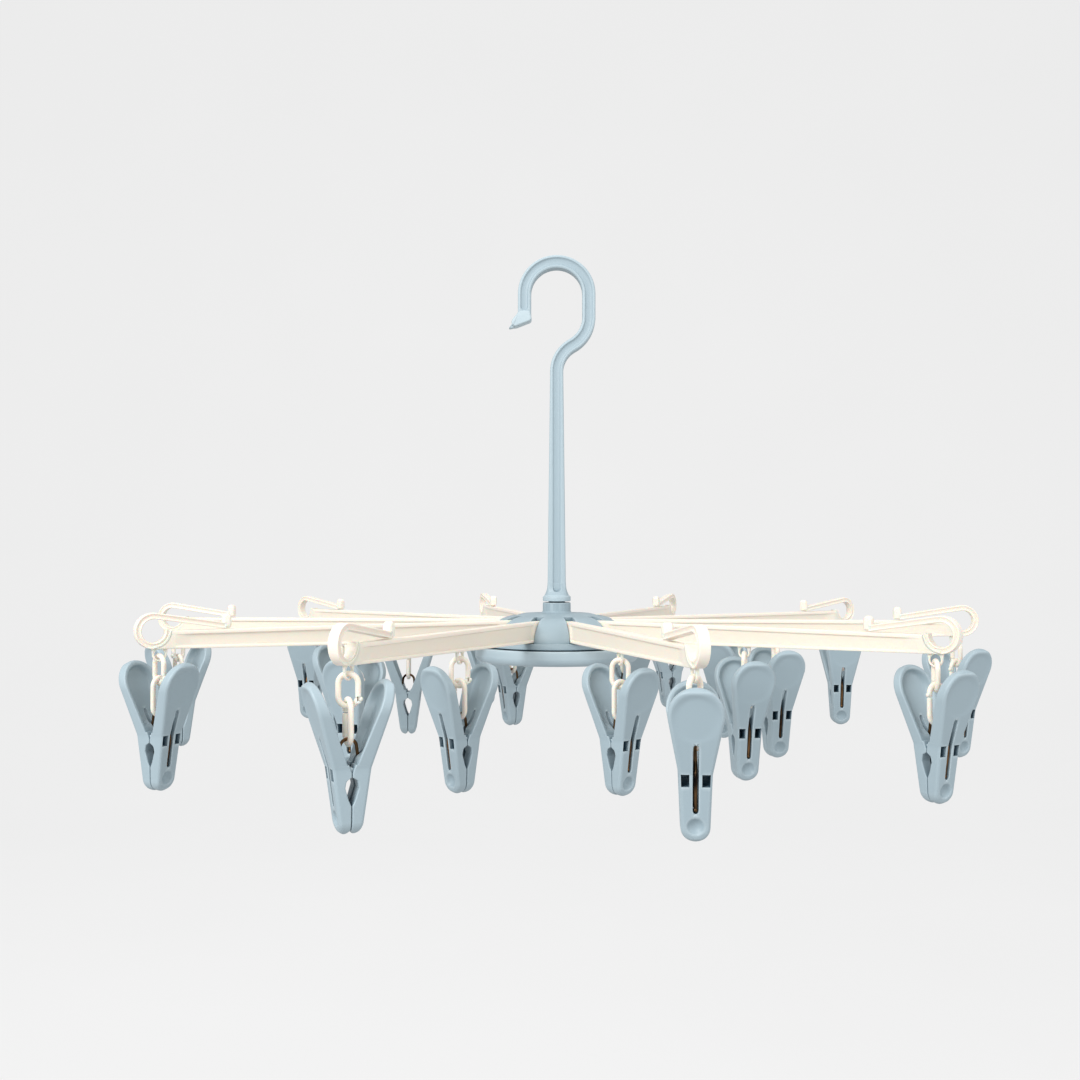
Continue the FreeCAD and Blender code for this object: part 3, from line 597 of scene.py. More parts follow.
def strap_rib(half, groove, face):
    """A quarter of the section from the middle of the front groove to the side, mirrored four ways."""
    depth = STRAP_DEPTH / 2
    rim = min(0.35, (depth - face) * 0.5)
    quarter = [
        (0.0, face - rim), (groove * 0.5, face - rim * 0.6), (groove * 0.82, face + rim * 0.4),
        (groove * 0.96, depth - rim), (groove + 0.05, depth - rim * 0.3), (groove + 0.35, depth),
        (half - CORNER, depth), (half - CORNER * 0.5, depth - CORNER * 0.13),
        (half - CORNER * 0.13, depth - CORNER * 0.5), (half, depth - CORNER), (half, 0.0),
    ]
    back = [(u, -v) for u, v in reversed(quarter[:-1])]
    right = quarter + back
    left = [(-u, v) for u, v in reversed(right[1:-1])]
    return right + left


def groove_half(room):
    """Half the width of the groove this far from its rounded end."""
    return math.sqrt(max(GROOVE_HALF ** 2 - max(GROOVE_HALF - room, 0.0) ** 2, 0.0)) if room > 0 else 0.0


def strap_ribs():
    line = strap_line()
    end = line[-1][3] - GROOVE_SHORT
    for x, z, heading, travelled in line:
        taper = min(travelled / (bend_level - STEM_LOW), 1)
        half = STEM_BASE / 2 + (STRAP / 2 - STEM_BASE / 2) * taper
        room = max(end - travelled, 0.0)
        groove = max(groove_half(room), 0.5)
        face = STRAP_DEPTH / 2 - 0.02 - (STRAP_DEPTH / 2 - GROOVE_FACE) * min(room / 1.2, 1)
        side = Vector((math.cos(math.radians(heading - 90)), 0, math.sin(math.radians(heading - 90))))
        centre = Vector((x, 0, z))
        yield [centre + side * u + Vector((0, v, 0)) for u, v in strap_rib(half, groove, face)]


# %% The foot, the collar and the whole moulding
def softened_twice(outline, size):
    """Corners cut back once by size and then again, which makes them nearly round."""
    return softened(softened(outline, size), size * 0.4)


def hook_foot(mesh):
    """The foot overlaps the strap's free end and covers it by a hair, so no seam shows."""
    outer, inner, leg = -SEAT_RADIUS - STRAP, -SEAT_RADIUS, SEAT_UP - LEG_DOWN
    outline = [
        (outer + 0.3, leg + 2.4), (outer, leg - 0.2), (outer - 4.2, leg - 4.8), (outer - 5.0, leg - 8.2),
        (outer - 2.8, leg - 10.6), (inner + 0.6, leg - 5.6), (inner - 0.3, leg + 2.4),
    ]
    slab(mesh, softened_twice(outline, 1.2), STRAP_DEPTH / 2 + COVER, 1.1)
    nub = [(outer - 3.4, leg - 6.0), (outer - 7.2, leg - 11.4), (outer - 1.0, leg - 10.2)]
    slab(mesh, softened_twice(nub, 0.9), STRAP_DEPTH * 0.225, 0.5)


def mast_collar(mesh):
    """The spigot that the hub turns on, the round collar over it, and the flare up to the strap."""
    ring, low = 10.2, COLLAR_LOW
    profile = [
        (0.01, -18.0), (5.4, -18.0), (6.0, -17.4), (6.0, low), (ring - 0.6, low), (ring - 0.15, low + 0.15),
        (ring, low + 0.6), (ring, low + 3.0), (ring - 0.2, low + 3.5), (ring - 0.7, low + 3.7),
        (ring - 1.0, low + 4.2), (0.01, low + 4.2),
    ]
    lathe(mesh, profile, 64)
    skin_over(mesh, list(flare_ribs(ring - 1.0, low + 4.0)))


def flare_ribs(radius, low):
    """From the round collar to the strap's nearly square section, in a hollow curve. The groove ends in it."""
    high, wide, deep = low + 9.5, STEM_BASE / 2 + COVER, STRAP_DEPTH / 2 + COVER
    for step in range(25):
        share = (1 - step / 24) ** 2.4
        level = low + (high - low) * step / 24
        groove = groove_half(level - GROOVE_END)
        rib = []
        for turn in (2 * math.pi * part / 120 for part in range(120)):
            x, y = math.cos(turn), math.sin(turn)
            reach = (abs(x / wide) ** 7 + abs(y / deep) ** 7) ** (-1 / 7)
            reach += (radius - reach) * share
            across, out = x * reach, abs(y * reach)
            if abs(across) < groove:
                out = min(out, GROOVE_FACE + 0.05 + 0.8 * (across / GROOVE_HALF) ** 4)
            rib.append((across, math.copysign(out, y), level))
        yield rib


def make_hook():
    mesh = bmesh.new()
    skin_over(mesh, list(strap_ribs()))
    hook_foot(mesh)
    mast_collar(mesh)
    return finished(mesh, "hook_and_mast", 50)


hook = piece("hook_and_mast", make_hook(), blue_plastic, to_plane)
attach(hook, "mast")
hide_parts("hook_mast")
print("hook and mast:", len(hook.data.polygons), "faces")

# %% [markdown]
# ## The hub
# The dome has a slot for every arm, and seen from above each slot shows as a dark notch behind the arm's
# root. Cutting notches with booleans leaves ragged corners on a curved surface. Here the dome is drawn as
# ten equal sectors whose edges already follow the straight sides of the slots, so every corner can be soft.

# %% The dome's outline and its slots
DOME_RADIUS, DOME_TOP = 50.5, 4.6
SHOULDER, SHOULDER_LOW = 19.5, -17.0
FLANGE_RADIUS, FLANGE_TOP, FLANGE_LOW = 53.5, -14.9, -19.4
SLOT_IN, SLOT_HALF = 30.5, 3.4
HUB_COLLAR, BORE, BORE_WALL = 10.2, 6.05, 12.0
SECTOR = 2 * math.pi / arm_count
PETAL_STEPS = 10
shoulder_centre = (DOME_RADIUS - SHOULDER, SHOULDER_LOW)


def dome_rings():
    """(radius, height) from the corners of a slot's inner end out to the flange."""
    bend = polar(shoulder_centre, SHOULDER, 82)
    foot = math.degrees(math.asin((FLANGE_TOP - SHOULDER_LOW) / SHOULDER))
    inner_end = bend[1] + (DOME_TOP - bend[1]) * (bend[0] - SLOT_IN) / bend[0]
    return [(math.hypot(SLOT_IN, SLOT_HALF), inner_end)] + arc(shoulder_centre, SHOULDER, 82, foot, 18)


def sector_angles(radius):
    """Angles across the solid part between two slots, at this radius."""
    edge = math.asin(SLOT_HALF / radius)
    return [edge + (SECTOR - 2 * edge) * step / PETAL_STEPS for step in range(PETAL_STEPS + 1)]


# %% One sector of the dome
def spot(mesh, radius, angle, height):
    return mesh.verts.new((radius * math.cos(angle), radius * math.sin(angle), height))


def by_slot(mesh, reach, angle, offset, height):
    """A point this far out along a slot's middle line and this far to its side."""
    return mesh.verts.new(Matrix.Rotation(angle, 4, "Z") @ Vector((reach, offset, height)))


def strip(mesh, first, second):
    """Faces between two rows of points; where two corners meet, a face has one corner less."""
    for a, b, c, d in zip(first, first[1:], second[1:], second):
        corners = []
        for corner in (a, b, c, d):
            if all((corner.co - other.co).length > 1e-6 for other in corners):
                corners.append(corner)
        if len(corners) > 2:
            mesh.faces.new(corners)


def strips(mesh, rows):
    for first, second in zip(rows, rows[1:]):
        strip(mesh, first, second)


def petal(mesh, base):
    """The solid part between two slots, from their inner ends out to the flange."""
    strips(mesh, [
        [spot(mesh, radius, base + angle, height) for angle in sector_angles(radius)]
        for radius, height in dome_rings()
    ])


def slot_walls(mesh, base):
    """Both sides, the floor and the inner end of one slot."""
    feet = []
    for side in (-SLOT_HALF, SLOT_HALF):
        reaches = [(math.sqrt(radius ** 2 - SLOT_HALF ** 2), height) for radius, height in dome_rings()]
        top = [by_slot(mesh, reach, base, side, height) for reach, height in reaches]
        foot = [by_slot(mesh, reach, base, side, FLANGE_TOP) for reach, height in reaches]
        strip(mesh, top, foot)
        feet.append(foot)
    strip(mesh, *feet)
    strips(mesh, [
        [by_slot(mesh, SLOT_IN, base, side, height) for side in (-SLOT_HALF, 0.0, SLOT_HALF)]
        for height in (dome_rings()[0][1], FLANGE_TOP)
    ])


def crown(mesh, base):
    """From the slots' inner ends up to the foot of the collar, and up inside it."""
    radius, height = dome_rings()[0]
    angles = sector_angles(radius)
    inner_end = [by_slot(mesh, SLOT_IN, base, side, height) for side in (-SLOT_HALF, 0.0)]
    rows = [inner_end + [spot(mesh, radius, base + angle, height) for angle in angles]]
    for radius, height in (
        (25.0, DOME_TOP - 0.5), (18.0, DOME_TOP - 0.25), (HUB_COLLAR + 1.6, DOME_TOP - 0.02),
        (HUB_COLLAR + 0.5, DOME_TOP + 0.5), (HUB_COLLAR, DOME_TOP + 1.6), (HUB_COLLAR, COLLAR_LOW - 1.6),
    ):
        rows.append([spot(mesh, radius, base + angle, height) for angle in [-angles[0], 0.0] + angles])
    strips(mesh, rows)


def flange(mesh, base):
    """From the dome's foot out over the rim and back underneath."""
    foot_radius = dome_rings()[-1][0]
    angles = sector_angles(foot_radius)
    strips(mesh, [
        [spot(mesh, radius, base + angle, height) for angle in [-angles[0], 0.0] + angles]
        for radius, height in (
            (foot_radius, FLANGE_TOP), (FLANGE_RADIUS - 0.5, FLANGE_TOP),
            (FLANGE_RADIUS - 0.1, FLANGE_TOP - 0.15), (FLANGE_RADIUS, FLANGE_TOP - 0.6),
            (FLANGE_RADIUS, FLANGE_LOW + 0.5), (FLANGE_RADIUS - 0.5, FLANGE_LOW), (BORE_WALL, FLANGE_LOW),
        )
    ])


# %% The whole dome
def make_hub():
    """The slots are at angles 0, SECTOR, 2 SECTOR and so on from the first arm."""
    mesh = bmesh.new()
    for number in range(arm_count):
        for part in (petal, slot_walls, crown, flange):
            part(mesh, number * SECTOR)
    bmesh.ops.remove_doubles(mesh, verts=mesh.verts, dist=0.004)
    collar = [
        (BORE, FLANGE_LOW), (BORE_WALL, FLANGE_LOW), (BORE_WALL, FLANGE_LOW + 2), (HUB_COLLAR, 0.0),
        (HUB_COLLAR, COLLAR_LOW - 1.5), (HUB_COLLAR - 0.4, COLLAR_LOW - 1.0), (BORE, COLLAR_LOW - 1.0),
    ]
    lathe(mesh, collar, 64)
    return finished(mesh, "hub_dome_shell", 50)


first_arm = math.atan2(outward[0].y, outward[0].x)
hub = piece(
    "hub_dome_shell", make_hub(), shaded_dome_plastic, to_plane @ Matrix.Rotation(first_arm, 4, "Z"),
)
rims = hub.modifiers.new("soft_rims", "BEVEL")
rims.width, rims.segments = 0.45, 2
rims.limit_method, rims.angle_limit = "ANGLE", math.radians(48)
rims.use_clamp_overlap = True
hub.modifiers.move(1, 0)
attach(hub, "hub")
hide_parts("hub_dome")
print("hub:", len(hub.data.polygons), "faces,", arm_count, "slots")

# %% [markdown]
# ## The arms
# Each arm is a thin beam of I section that tapers towards its end loop. The strap of the loop runs back over
# the beam as a sprung tongue with an upturned tip, and socks or a cord are pushed under it. The beam is
# a skin over ribs, the loop and tongue are another, and the tip is a small slab. One mesh serves all ten arms.

# %% The arm's measures
ARM_REACH = 289.0
ARM_HALF = 3.0
WEB_IN = 1.35
WEB_START, WEB_END = 49.0, 277.0
ARM_HIGH = 14.6
LOOP_IN = 7.2
TONGUE_END, STUB, TONGUE_TOP = 246.5, 5.2, 9.6
TONGUE_TILT = 9.0
GROOVE_IN, GROOVE_OUT = 41.0, 268.0
EYES = (285.0, 158.0)
EYE_HOLE, EYE_WALL, EYE_THICK, EYE_DROP = 3.2, 1.2, 1.6, 3.4
LOOP_LINE = (LOOP_OUT + LOOP_IN) / 2


def arm_low(x):
    """Lower edge of the beam."""
    return -ARM_HIGH + (x - PIVOT_RADIUS) / (ARM_REACH - PIVOT_RADIUS) * (ARM_HIGH - LOOP_OUT)


def arm_top(x):
    """Upper edge of the beam; near its end it follows the loop."""
    inside = ARM_REACH - x
    return 0.0 if inside > LOOP_LINE else -math.sqrt(LOOP_LINE ** 2 - inside ** 2)


# %% The beam and the loop
def ease(value):
    """0 to 1 with a soft start and a soft end."""
    value = min(max(value, 0.0), 1.0)
    return value * value * (3 - 2 * value)


def beam_rib(x):
    """An I section: flanges above and below, a hollow web on both sides and a shallow groove along the top."""
    top, low = arm_top(x), arm_low(x)
    share = ease(min((x - WEB_START) / 3.2, (WEB_END - x) / 12.0))
    web = ARM_HALF - WEB_IN * share
    thick = min(2.4, (top - low) * 0.3)
    foot = min(1.7, (top - low) * 0.3)
    groove = 0.7 * min(max(min(x - GROOVE_IN, GROOVE_OUT - x), 0.0), 1.0) + 0.03
    half = [
        (0.0, top - groove), (0.9, top - groove), (1.05, top), (ARM_HALF, top),
        (ARM_HALF, top - thick), (web, top - thick - 0.25 * share), (web, low + foot + 0.25 * share),
        (ARM_HALF, low + foot), (ARM_HALF, low), (0.0, low),
    ]
    ring = half + [(-y, z) for y, z in reversed(half[1:-1])]
    return [(x, y, z) for y, z in softened(ring, 0.32)]


def beam_places():
    places = [33.0, 33.4, 36.0, 38.0, 41.0, 41.5, 42.0, 46.0]
    places += [WEB_START + 0.4 * step for step in range(9)]
    places += [54.0 + (266.0 - 54.0) * step / 22 for step in range(23)]
    places += [267.0, 267.5, 268.0, 271.0, 275.6, 276.3, 277.0, 279.0, 280.2, 281.4, 283.0, 285.0, 287.0, 288.9]
    return places


def beam_ribs():
    """The inner end is rounded off towards the hub."""
    for x in beam_places():
        rib = beam_rib(x)
        if x < 33.2:
            rib = [(px, y * 0.86, (z + 7.5) * 0.86 - 7.5) for px, y, z in rib]
        low = arm_low(x) + max(0.0, 38.0 - x) * 0.8
        yield [(px, y, max(z, low)) for px, y, z in rib]


def band_line():
    """(x, z, heading) round the loop, back along the tongue and into its tip."""
    centre = (ARM_REACH, 0.0)
    end = 360 + 90 + TONGUE_TILT
    line = []
    for step in range(45):
        angle = 176 + (end - 176) * step / 44
        line.append((*polar(centre, LOOP_LINE, angle), angle + 90))
    x, z, heading = line[-1]
    run = (x - TONGUE_END + 1.6) / math.cos(math.radians(TONGUE_TILT))
    for step in range(1, 11):
        there = polar((x, z), run * step / 10, heading)
        line.append((*there, heading))
    return line


def band_ribs():
    """The strap of the loop and the tongue, with a groove along both of its sides."""
    thick = (LOOP_OUT - LOOP_IN) / 2
    far_side = [
        (thick, ARM_HALF), (thick - 0.85, ARM_HALF), (thick - 1.15, ARM_HALF - 0.55),
        (1.15 - thick, ARM_HALF - 0.55), (0.85 - thick, ARM_HALF), (-thick, ARM_HALF),
    ]
    section = [(n, -y) for n, y in reversed(far_side)] + far_side
    for x, z, heading in band_line():
        turn = math.radians(heading - 90)
        out = Vector((math.cos(turn), 0, math.sin(turn)))
        yield [Vector((x, 0, z)) + out * n + Vector((0, y, 0)) for n, y in softened(section, 0.3)]


# %% The tip, the eyelets and the pins
def tongue_tip(mesh):
    """The upturned stub that ends the tongue."""
    left, right, foot = TONGUE_END - STUB, TONGUE_END, 0.75
    top = (TONGUE_END - STUB / 2, TONGUE_TOP - STUB / 2)
    outline = [(left + 0.9, foot), (right, foot)] + arc(top, STUB / 2, 0, 180, 14) + [(left, foot + 0.9)]
    slab(mesh, outline, ARM_HALF, 1.2)


def eyelet(mesh, x):
    level, half = arm_low(x) - EYE_DROP, EYE_THICK / 2
    outer, soft = EYE_HOLE + EYE_WALL, 0.35
    ring = [
        (EYE_HOLE, soft - half), (EYE_HOLE + soft, -half), (outer - soft, -half), (outer, soft - half),
        (outer, half - soft), (outer - soft, half), (EYE_HOLE + soft, half), (EYE_HOLE, half - soft),
    ]
    lathe(mesh, ring, 32, turning_y(x, level))
    middle = EYE_HOLE + EYE_WALL / 2
    root = [(x + middle, level), (x + outer, level), (x + outer + 0.4, level + EYE_DROP + 0.8),
            (x - outer - 0.4, level + EYE_DROP + 0.8), (x - outer, level), (x - middle, level)]
    root += arc((x, level), middle, 180, 0, 12)[1:-1]
    slab(mesh, root, half, 0.25)


def pins(mesh):
    """The knuckle at the arm's root and the pin through it."""
    for radius, half in ((4.0, ARM_HALF), (2.0, 5.3)):
        profile = [(0.01, -half), (radius - 0.3, -half), (radius, 0.3 - half), (radius, half - 0.3),
                   (radius - 0.3, half), (0.01, half)]
        lathe(mesh, profile, 24, turning_y(PIVOT_RADIUS, -7.0))


def make_arm():
    mesh = bmesh.new()
    skin_over(mesh, list(beam_ribs()))
    skin_over(mesh, list(band_ribs()))
    tongue_tip(mesh)
    for x in EYES:
        eyelet(mesh, x)
    pins(mesh)
    return finished(mesh, "arm", 50)


arm_mesh = make_arm()
for number, direction in enumerate(outward, start=1):
    arm = piece(
        "arm_%02d_beam" % number, arm_mesh, cream_plastic,
        facing(direction, Vector((0, 0, plane))) @ Matrix.Scale(MM, 4),
    )
    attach(arm, "arm_%02d" % number)
    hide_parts("arm_%02d" % number)
print(arm_count, "arms of", len(arm_mesh.polygons), "faces")

# %% [markdown]
# ## The pegs' jaws
# A jaw is a curved plate: round finger pad, narrow waist, rounded tip. Seen from the front its outline is
# simple, and its two faces are smooth hollows and slopes, so it is drawn as two height maps, outer and inner,
# over one net of rows and columns. The net's lines follow the slot and the square windows, which keeps those
# openings crisp, while every other edge rolls off softly.

# %% The jaw's outline
PEG_TOP, PEG_TIP = 44.0, -34.0
PAD, PAD_LEVEL = 14.0, 30.0
WAIST, TIP_HALF = 8.4, 7.4
TIP_LEVEL = PEG_TIP + TIP_HALF
KNEE = 14.0
knee_half, knee_level = polar((0, PAD_LEVEL), PAD, -KNEE)


def blend_between(points, z):
    """Straight-line reading of (z, value) pairs in rising order."""
    if z <= points[0][0]:
        return points[0][1]
    for (z0, v0), (z1, v1) in zip(points, points[1:]):
        if z <= z1:
            return v0 + (v1 - v0) * (z - z0) / (z1 - z0)
    return points[-1][1]


def half_width(z):
    if z > knee_level:
        return math.sqrt(max(PAD ** 2 - (z - PAD_LEVEL) ** 2, 0.0))
    if z < TIP_LEVEL:
        return math.sqrt(max(TIP_HALF ** 2 - (z - TIP_LEVEL) ** 2, 0.0))
    return blend_between([(TIP_LEVEL, TIP_HALF), (0.0, WAIST), (knee_level, knee_half)], z)


def edge_room(y, z):
    """How far inside the outline a point is."""
    if z > knee_level:
        return PAD - math.hypot(y, z - PAD_LEVEL)
    if z < TIP_LEVEL:
        return TIP_HALF - math.hypot(y, z - TIP_LEVEL)
    return half_width(z) - abs(y)


# %% The jaw's two faces
OUTER = [(-34.0, 3.6), (-32.6, 5.4), (-29.0, 6.4), (0.0, 10.4), (41.6, 23.0), (44.0, 21.8)]
INNER = [
    (-34.0, 1.6), (-31.6, 0.15), (-19.0, 0.15), (-16.0, 1.6), (-9.6, 3.5), (-6.2, 2.9), (-4.2, 0.15),
    (-2.2, 0.15), (1.95, 1.7), (2.05, 2.62), (42.0, 17.6), (44.0, 18.8),
]
DISH_FLOOR = [(5.0, 2.9), (6.0, 6.4), (12.0, 10.4), (33.0, 18.6), (40.6, 20.6), (42.0, 20.8)]
SLOT_LOW, SLOT_HIGH, SLOT_SIDE = -19.5, 15.3, 1.45
WINDOW_SHARE, WINDOW_Z = (0.249, 0.848), (-6.0, 0.2)
WINDOW_WALL = 0.9
SLOT_RIM = 0.35
PAD_MIDDLE, PAD_RECESS = 28.6, 12.9
DIMPLE_LEVEL, DIMPLE_OUT, DIMPLE = -26.4, 9.4, 5.1


def roll(room, radius):
    """How far a face falls away this close to its edge."""
    if room >= radius:
        return 0.0
    return radius - math.sqrt(max(radius ** 2 - (radius - max(room, 0.0)) ** 2, 0.0))


def jaw_faces(y, z):
    """Outer and inner X of the jaw at this place."""
    outer, inner = blend_between(OUTER, z), blend_between(INNER, z)
    thick = outer - inner
    room = edge_room(y, z)
    recess = (0.3 + 0.6 * ease((z - 16.0) / 24.0)) * ease((PAD_RECESS - math.hypot(y, z - PAD_MIDDLE)) / 3.4)
    from_dimple = math.hypot(y, z - DIMPLE_LEVEL)
    hollow = 0.0
    if from_dimple < DIMPLE:
        hollow = outer - (DIMPLE_OUT - math.sqrt(DIMPLE ** 2 - from_dimple ** 2))
    if z > 5.0:
        depth = max(blend_between(DISH_FLOOR, z) - inner, 0.0)
        inner += depth * ease((room - 1.7) / 3.4) * ease((z - 5.0) / 3.0)
    outer -= max(recess, hollow, 0.0)
    share = (abs(y) - SLOT_SIDE) / (half_width(z) - SLOT_SIDE) if WINDOW_Z[0] < z < WINDOW_Z[1] else 0.0
    in_window = WINDOW_SHARE[0] < share < WINDOW_SHARE[1]
    if in_window:
        outer = inner + WINDOW_WALL
    outer -= roll(room, min(1.9, thick * 0.45))
    inner += roll(room, min(0.8, thick * 0.3))
    return outer, max(inner, 0.0)


# %% The jaw's net
SIDE_STEPS = [0.0, 0.05, 0.13, 0.246, 0.252, 0.33, 0.42, 0.53, 0.635, 0.74, 0.79, 0.845, 0.851, 0.885, 0.925,
              0.955, 0.98, 0.994, 1.0]
SLOT_ENDS = {-19.5: 0.45, -19.2: 0.9, -18.6: 1.25, 15.3: 0.45, 15.0: 0.9, 14.4: 1.25}
MIDDLE = len(SIDE_STEPS) + 1


def jaw_rows():
    tip = [TIP_LEVEL + TIP_HALF * math.sin(math.radians(angle)) for angle in range(-84, 0, 7)]
    waist = [
        -26.6, -25.8, -25.0, -24.2, -23.4, -22.6, -21.8, -20.6, -19.5, -19.2, -18.6, -17.4, -16.0, -14.0,
        -12.0, -10.5, -9.6, -8.2, -7.0, -6.04, -5.97, -5.0, -4.2, -3.2, -2.2, -1.0, 0.16, 0.23, 1.2, 1.95, 2.05,
        3.4, 4.8, 6.0, 7.2, 8.4, 10.0, 11.6, 13.2, 14.4, 15.0, 15.3, 16.4, 17.2, 17.7, 18.2, 18.8, 20.2, 22.0,
        24.0, 26.0,
    ]
    top = [PAD_LEVEL + PAD * math.sin(math.radians(angle)) for angle in range(-12, 90, 5)]
    return [-33.99] + tip + waist + top + [43.995]


def jaw_row(z):
    """The Y places across one row, from left to right."""
    width = half_width(z)
    slot = min(SLOT_ENDS.get(z, SLOT_SIDE), width * 0.25)
    right = [slot * 0.5, slot] + [slot + (width - slot) * share for share in SIDE_STEPS[1:]]
    return [-y for y in reversed(right)] + [0.0] + right


def jaw_nets(mesh):
    """The outer and the inner net of the jaw, row by row. The slot's outer rims are cut back a little."""
    outer, inner = [], []
    for z in jaw_rows():
        across = jaw_row(z)
        slot_sides = (MIDDLE - 2, MIDDLE + 2) if SLOT_LOW <= z <= SLOT_HIGH else ()
        faces = [jaw_faces(y, z) for y in across]
        outer.append([
            mesh.verts.new((face[0] - (SLOT_RIM if index in slot_sides else 0.0), y, z))
            for index, (y, face) in enumerate(zip(across, faces))
        ])
        inner.append([mesh.verts.new((face[1], y, z)) for y, face in zip(across, faces)])
    return outer, inner


def walls(mesh, outer, inner, row, columns):
    """The thickness of the jaw along part of a row."""
    for column in columns:
        mesh.faces.new((outer[row][column], outer[row][column + 1], inner[row][column + 1], inner[row][column]))


def make_jaw():
    mesh = bmesh.new()
    rows = jaw_rows()
    outer, inner = jaw_nets(mesh)
    last = 2 * MIDDLE
    for row in range(len(rows) - 1):
        slotted = SLOT_LOW <= rows[row] < SLOT_HIGH
        for column in range(last):
            if slotted and MIDDLE - 2 <= column < MIDDLE + 2:
                continue
            for net, order in ((outer, 1), (inner, -1)):
                low, high = net[row], net[row + 1]
                corners = [low[column], low[column + 1], high[column + 1], high[column]]
                mesh.faces.new(corners[::order])
        for side in [0, last] + ([MIDDLE - 2, MIDDLE + 2] if slotted else []):
            mesh.faces.new((outer[row][side], outer[row + 1][side], inner[row + 1][side], inner[row][side]))
    for row in (0, len(rows) - 1):
        walls(mesh, outer, inner, row, range(last))
    for level in (SLOT_LOW, SLOT_HIGH):
        walls(mesh, outer, inner, rows.index(level), range(MIDDLE - 2, MIDDLE + 2))
    knuckle = [(0.01, 1.7), (1.7, 1.7), (2.0, 1.4), (2.0, -1.4), (1.7, -1.7), (0.01, -1.7)]
    lathe(mesh, knuckle, 20, Matrix.Translation((0, 5.2, 0)) @ turning_y(0, -1.5))
    return finished(mesh, "jaw", 62)


jaw_mesh = make_jaw()
print("jaw:", len(jaw_mesh.polygons), "faces")

# %% [markdown]
# ## The spring
# A bent wire closes each peg: an arch over the crotch, which the chain hangs on, and a leg down the slot of
# each jaw. It really flexes when the peg opens.

# %% A round bar along a line
def bar(mesh, line, radii, steps):
    """A round bar along a smooth line of points that all lie in one plane, with its radius at each."""
    ribs = []
    count = len(line)
    normal = (line[count // 3] - line[0]).cross(line[2 * count // 3] - line[0]).normalized()
    for index, point in enumerate(line):
        before = line[index - 1] if index else point
        after = line[index + 1] if index < count - 1 else point
        heading = (after - before).normalized()
        side = heading.cross(normal).normalized()
        ribs.append([
            point + (side * math.cos(turn) + normal * math.sin(turn)) * radii[index]
            for turn in (2 * math.pi * step / steps for step in range(steps))
        ])
    skin_over(mesh, ribs)


def smooth_line(points, steps):
    """A Catmull-Rom line through the points."""
    padded = [points[0] * 2 - points[1]] + points + [points[-1] * 2 - points[-2]]
    line = []
    for a, b, c, d in zip(padded, padded[1:], padded[2:], padded[3:]):
        for step in range(steps):
            t = step / steps
            line.append(0.5 * (
                2 * b + (c - a) * t + (2 * a - 5 * b + 4 * c - d) * t ** 2 + (3 * b - a - 3 * c + d) * t ** 3
            ))
    return line + [points[-1]]


# %% The spring's shape
WIRE = 0.9
LEG_WIRE = 1.05
LEG_BALL = 1.3
ARCH_TOP, ARCH_BEND = 14.2, 4.5


def make_spring(name):
    rise = ARCH_TOP - ARCH_BEND
    leg = [Vector((x, 0, z)) for x, z in (
        (ARCH_BEND, rise), (ARCH_BEND + 0.6, 6.2), (7.6, 1.2), (8.4, -3.2), (7.2, -10.5), (5.9, -17.9),
    )]
    right = smooth_line(leg, 6)
    arch = [Vector((x, 0, z)) for x, z in arc((0, rise), ARCH_BEND, 180, 0, 16)]
    left = [Vector((-point.x, 0, point.z)) for point in reversed(right)]
    line = left + arch[1:-1] + right
    radii = [WIRE + (LEG_WIRE - WIRE) * ease((8.0 - point.z) / 6.0) for point in line]
    radii[0] = radii[-1] = WIRE * 0.6
    mesh = bmesh.new()
    bar(mesh, line, radii, 10)
    for end in (line[0], line[-1]):
        bmesh.ops.create_uvsphere(
            mesh, u_segments=14, v_segments=10, radius=LEG_BALL, matrix=Matrix.Translation(end),
        )
    return finished(mesh, name, 70)


# %% [markdown]
# ## The chain links
# Each link is a long C of round plastic. It was snapped shut at a joint on one side, which shows as a thin
# cut with a small nub beside it. The bar stops just short of itself to leave that cut open.

# %% The link's shape
LINK_WIRE, LINK_BEND = 1.55, 5.1
UPPER_LINK, LOWER_LINK = 16.7, 22.7
LINK_GAP, ARCH_GAP = 0.4, 0.1
CUT, CUT_BELOW, CUT_FACE = 0.5, 1.6, 0.35
NUB = 1.35


def make_link(name, length, nub_level):
    """A link hanging from the origin in the YZ plane."""
    top, low = -LINK_BEND, LINK_BEND - length
    ring = arc((0, top), LINK_BEND, 0, 180, 14) + arc((0, low), LINK_BEND, 180, 360, 14)
    cut_low, cut_high = nub_level - CUT_BELOW, nub_level - CUT_BELOW + CUT
    line = [(LINK_BEND, cut_high), (LINK_BEND, cut_high + CUT_FACE)] + ring
    line += [(LINK_BEND, cut_low - CUT_FACE), (LINK_BEND, cut_low)]
    points = [Vector((0, y, z)) for y, z in line]
    radii = [LINK_WIRE] * len(points)
    radii[0] = radii[-1] = LINK_WIRE * 0.78
    mesh = bmesh.new()
    bar(mesh, points, radii, 14)
    ball = [(max(NUB * math.cos(math.radians(angle)), 0.01), NUB * math.sin(math.radians(angle)))
            for angle in range(-90, 91, 15)]
    lathe(mesh, ball, 16, Matrix.Translation((0, LINK_BEND + LINK_WIRE * 0.75, nub_level)))
    return finished(mesh, name, 60)


upper_mesh = make_link("upper_link", UPPER_LINK, 3.6 - UPPER_LINK)
lower_mesh = make_link("lower_link", LOWER_LINK, -6.0)
print("links:", len(upper_mesh.polygons), "and", len(lower_mesh.polygons), "faces")

# %% [markdown]
# ## Hanging the pegs
# The frame's joints say where each peg hangs and which way it faces: the swing joint is at the eyelet, and the
# axis of the opening joint lies across the jaws. The lever is the same moulding as the fixed jaw, turned
# half round. The upper link is turned half way between the arm's eyelet and the peg.

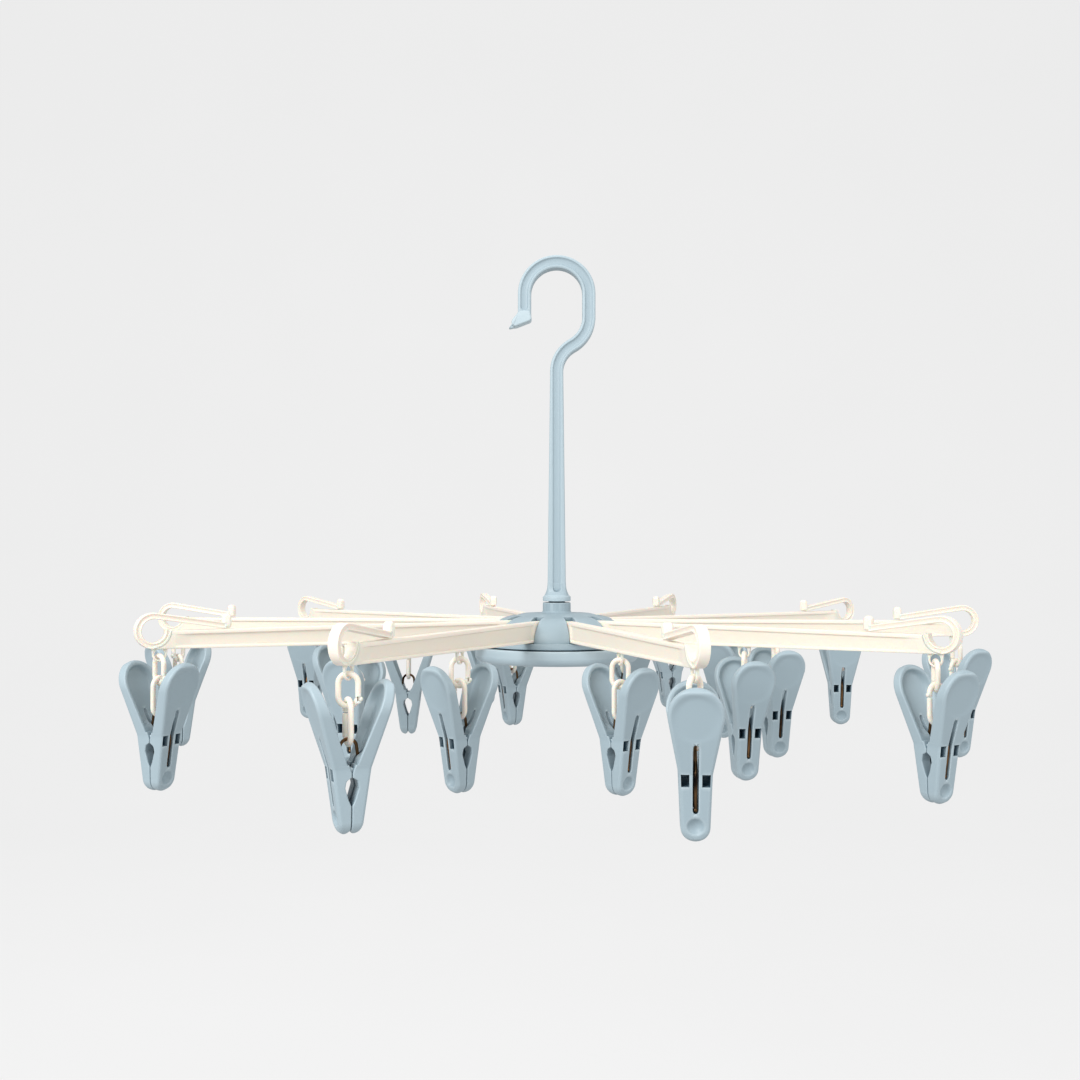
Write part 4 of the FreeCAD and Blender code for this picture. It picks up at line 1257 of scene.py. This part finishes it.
# %% The twenty pegs
lower_hang = -UPPER_LINK + 2 * LINK_WIRE + LINK_GAP
arch_hang = lower_hang - LOWER_LINK + LINK_WIRE + WIRE + ARCH_GAP
peg_hang = arch_hang - ARCH_TOP
half_turn = Matrix.Rotation(math.pi, 4, "Z")

for number in range(1, peg_count + 1):
    name = "peg_%02d" % number
    pivot = joint_place(name + "_swing")
    jaw_across = UP.cross(Vector(joints[name + "_open"]["axis"]))
    along_arm = outward[(number - 1) // 2]
    half_way = (jaw_across.normalized() + UP.cross(along_arm)).normalized()
    peg_place = facing(jaw_across, pivot + UP * peg_hang * MM) @ Matrix.Scale(MM, 4)
    upper_place = facing(half_way.cross(UP), pivot) @ Matrix.Scale(MM, 4)
    lower_place = facing(jaw_across, pivot + UP * lower_hang * MM) @ Matrix.Scale(MM, 4)
    fixed = piece(name + "_jaw", jaw_mesh, peg_plastic, peg_place @ half_turn)
    upper = piece(name + "_upper_link", upper_mesh, cream_plastic, upper_place)
    lower = piece(name + "_lower_link", lower_mesh, cream_plastic, lower_place)
    for held in (fixed, upper, lower):
        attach(held, name)
        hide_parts(name)
    lever = piece(name + "_lever_jaw", jaw_mesh, peg_plastic, peg_place)
    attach(lever, name + "_lever")
    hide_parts(name + "_lever")
    spring = piece(name + "_spring", make_spring(name + "_spring"), spring_wire, peg_place)
    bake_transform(spring)
    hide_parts(name)
print(peg_count, "pegs hung on their chains")

# %% [markdown]
# ## What stays from the frame
# The base disc, the washer and the screws already have the right shapes, so they keep their CAD meshes and only
# get a finish. Every other CAD node is stood for by a piece above.

# %% Finishes on the kept nodes
kept = {
    "hub_base": blue_plastic, "base_screws": zinc_steel, "mast_washer": zinc_steel, "mast_screw": zinc_steel,
}
for node, material in kept.items():
    data = frame["nodes"][node].data
    for index in range(len(data.materials)):
        data.materials[index] = material
print("kept CAD nodes:", ", ".join(kept))

# %% [markdown]
# ## The two boxes
# The looks must not change the size of the part. Both boxes are written out, so that they can be compared.

# %% Sizes and the last line
visual_low, visual_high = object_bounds()
for label, low, high in (("CAD", cad_low, cad_high), ("visual", visual_low, visual_high)):
    print(label, "size in mm:", [round((b - a) / MM, 1) for a, b in zip(low, high)])
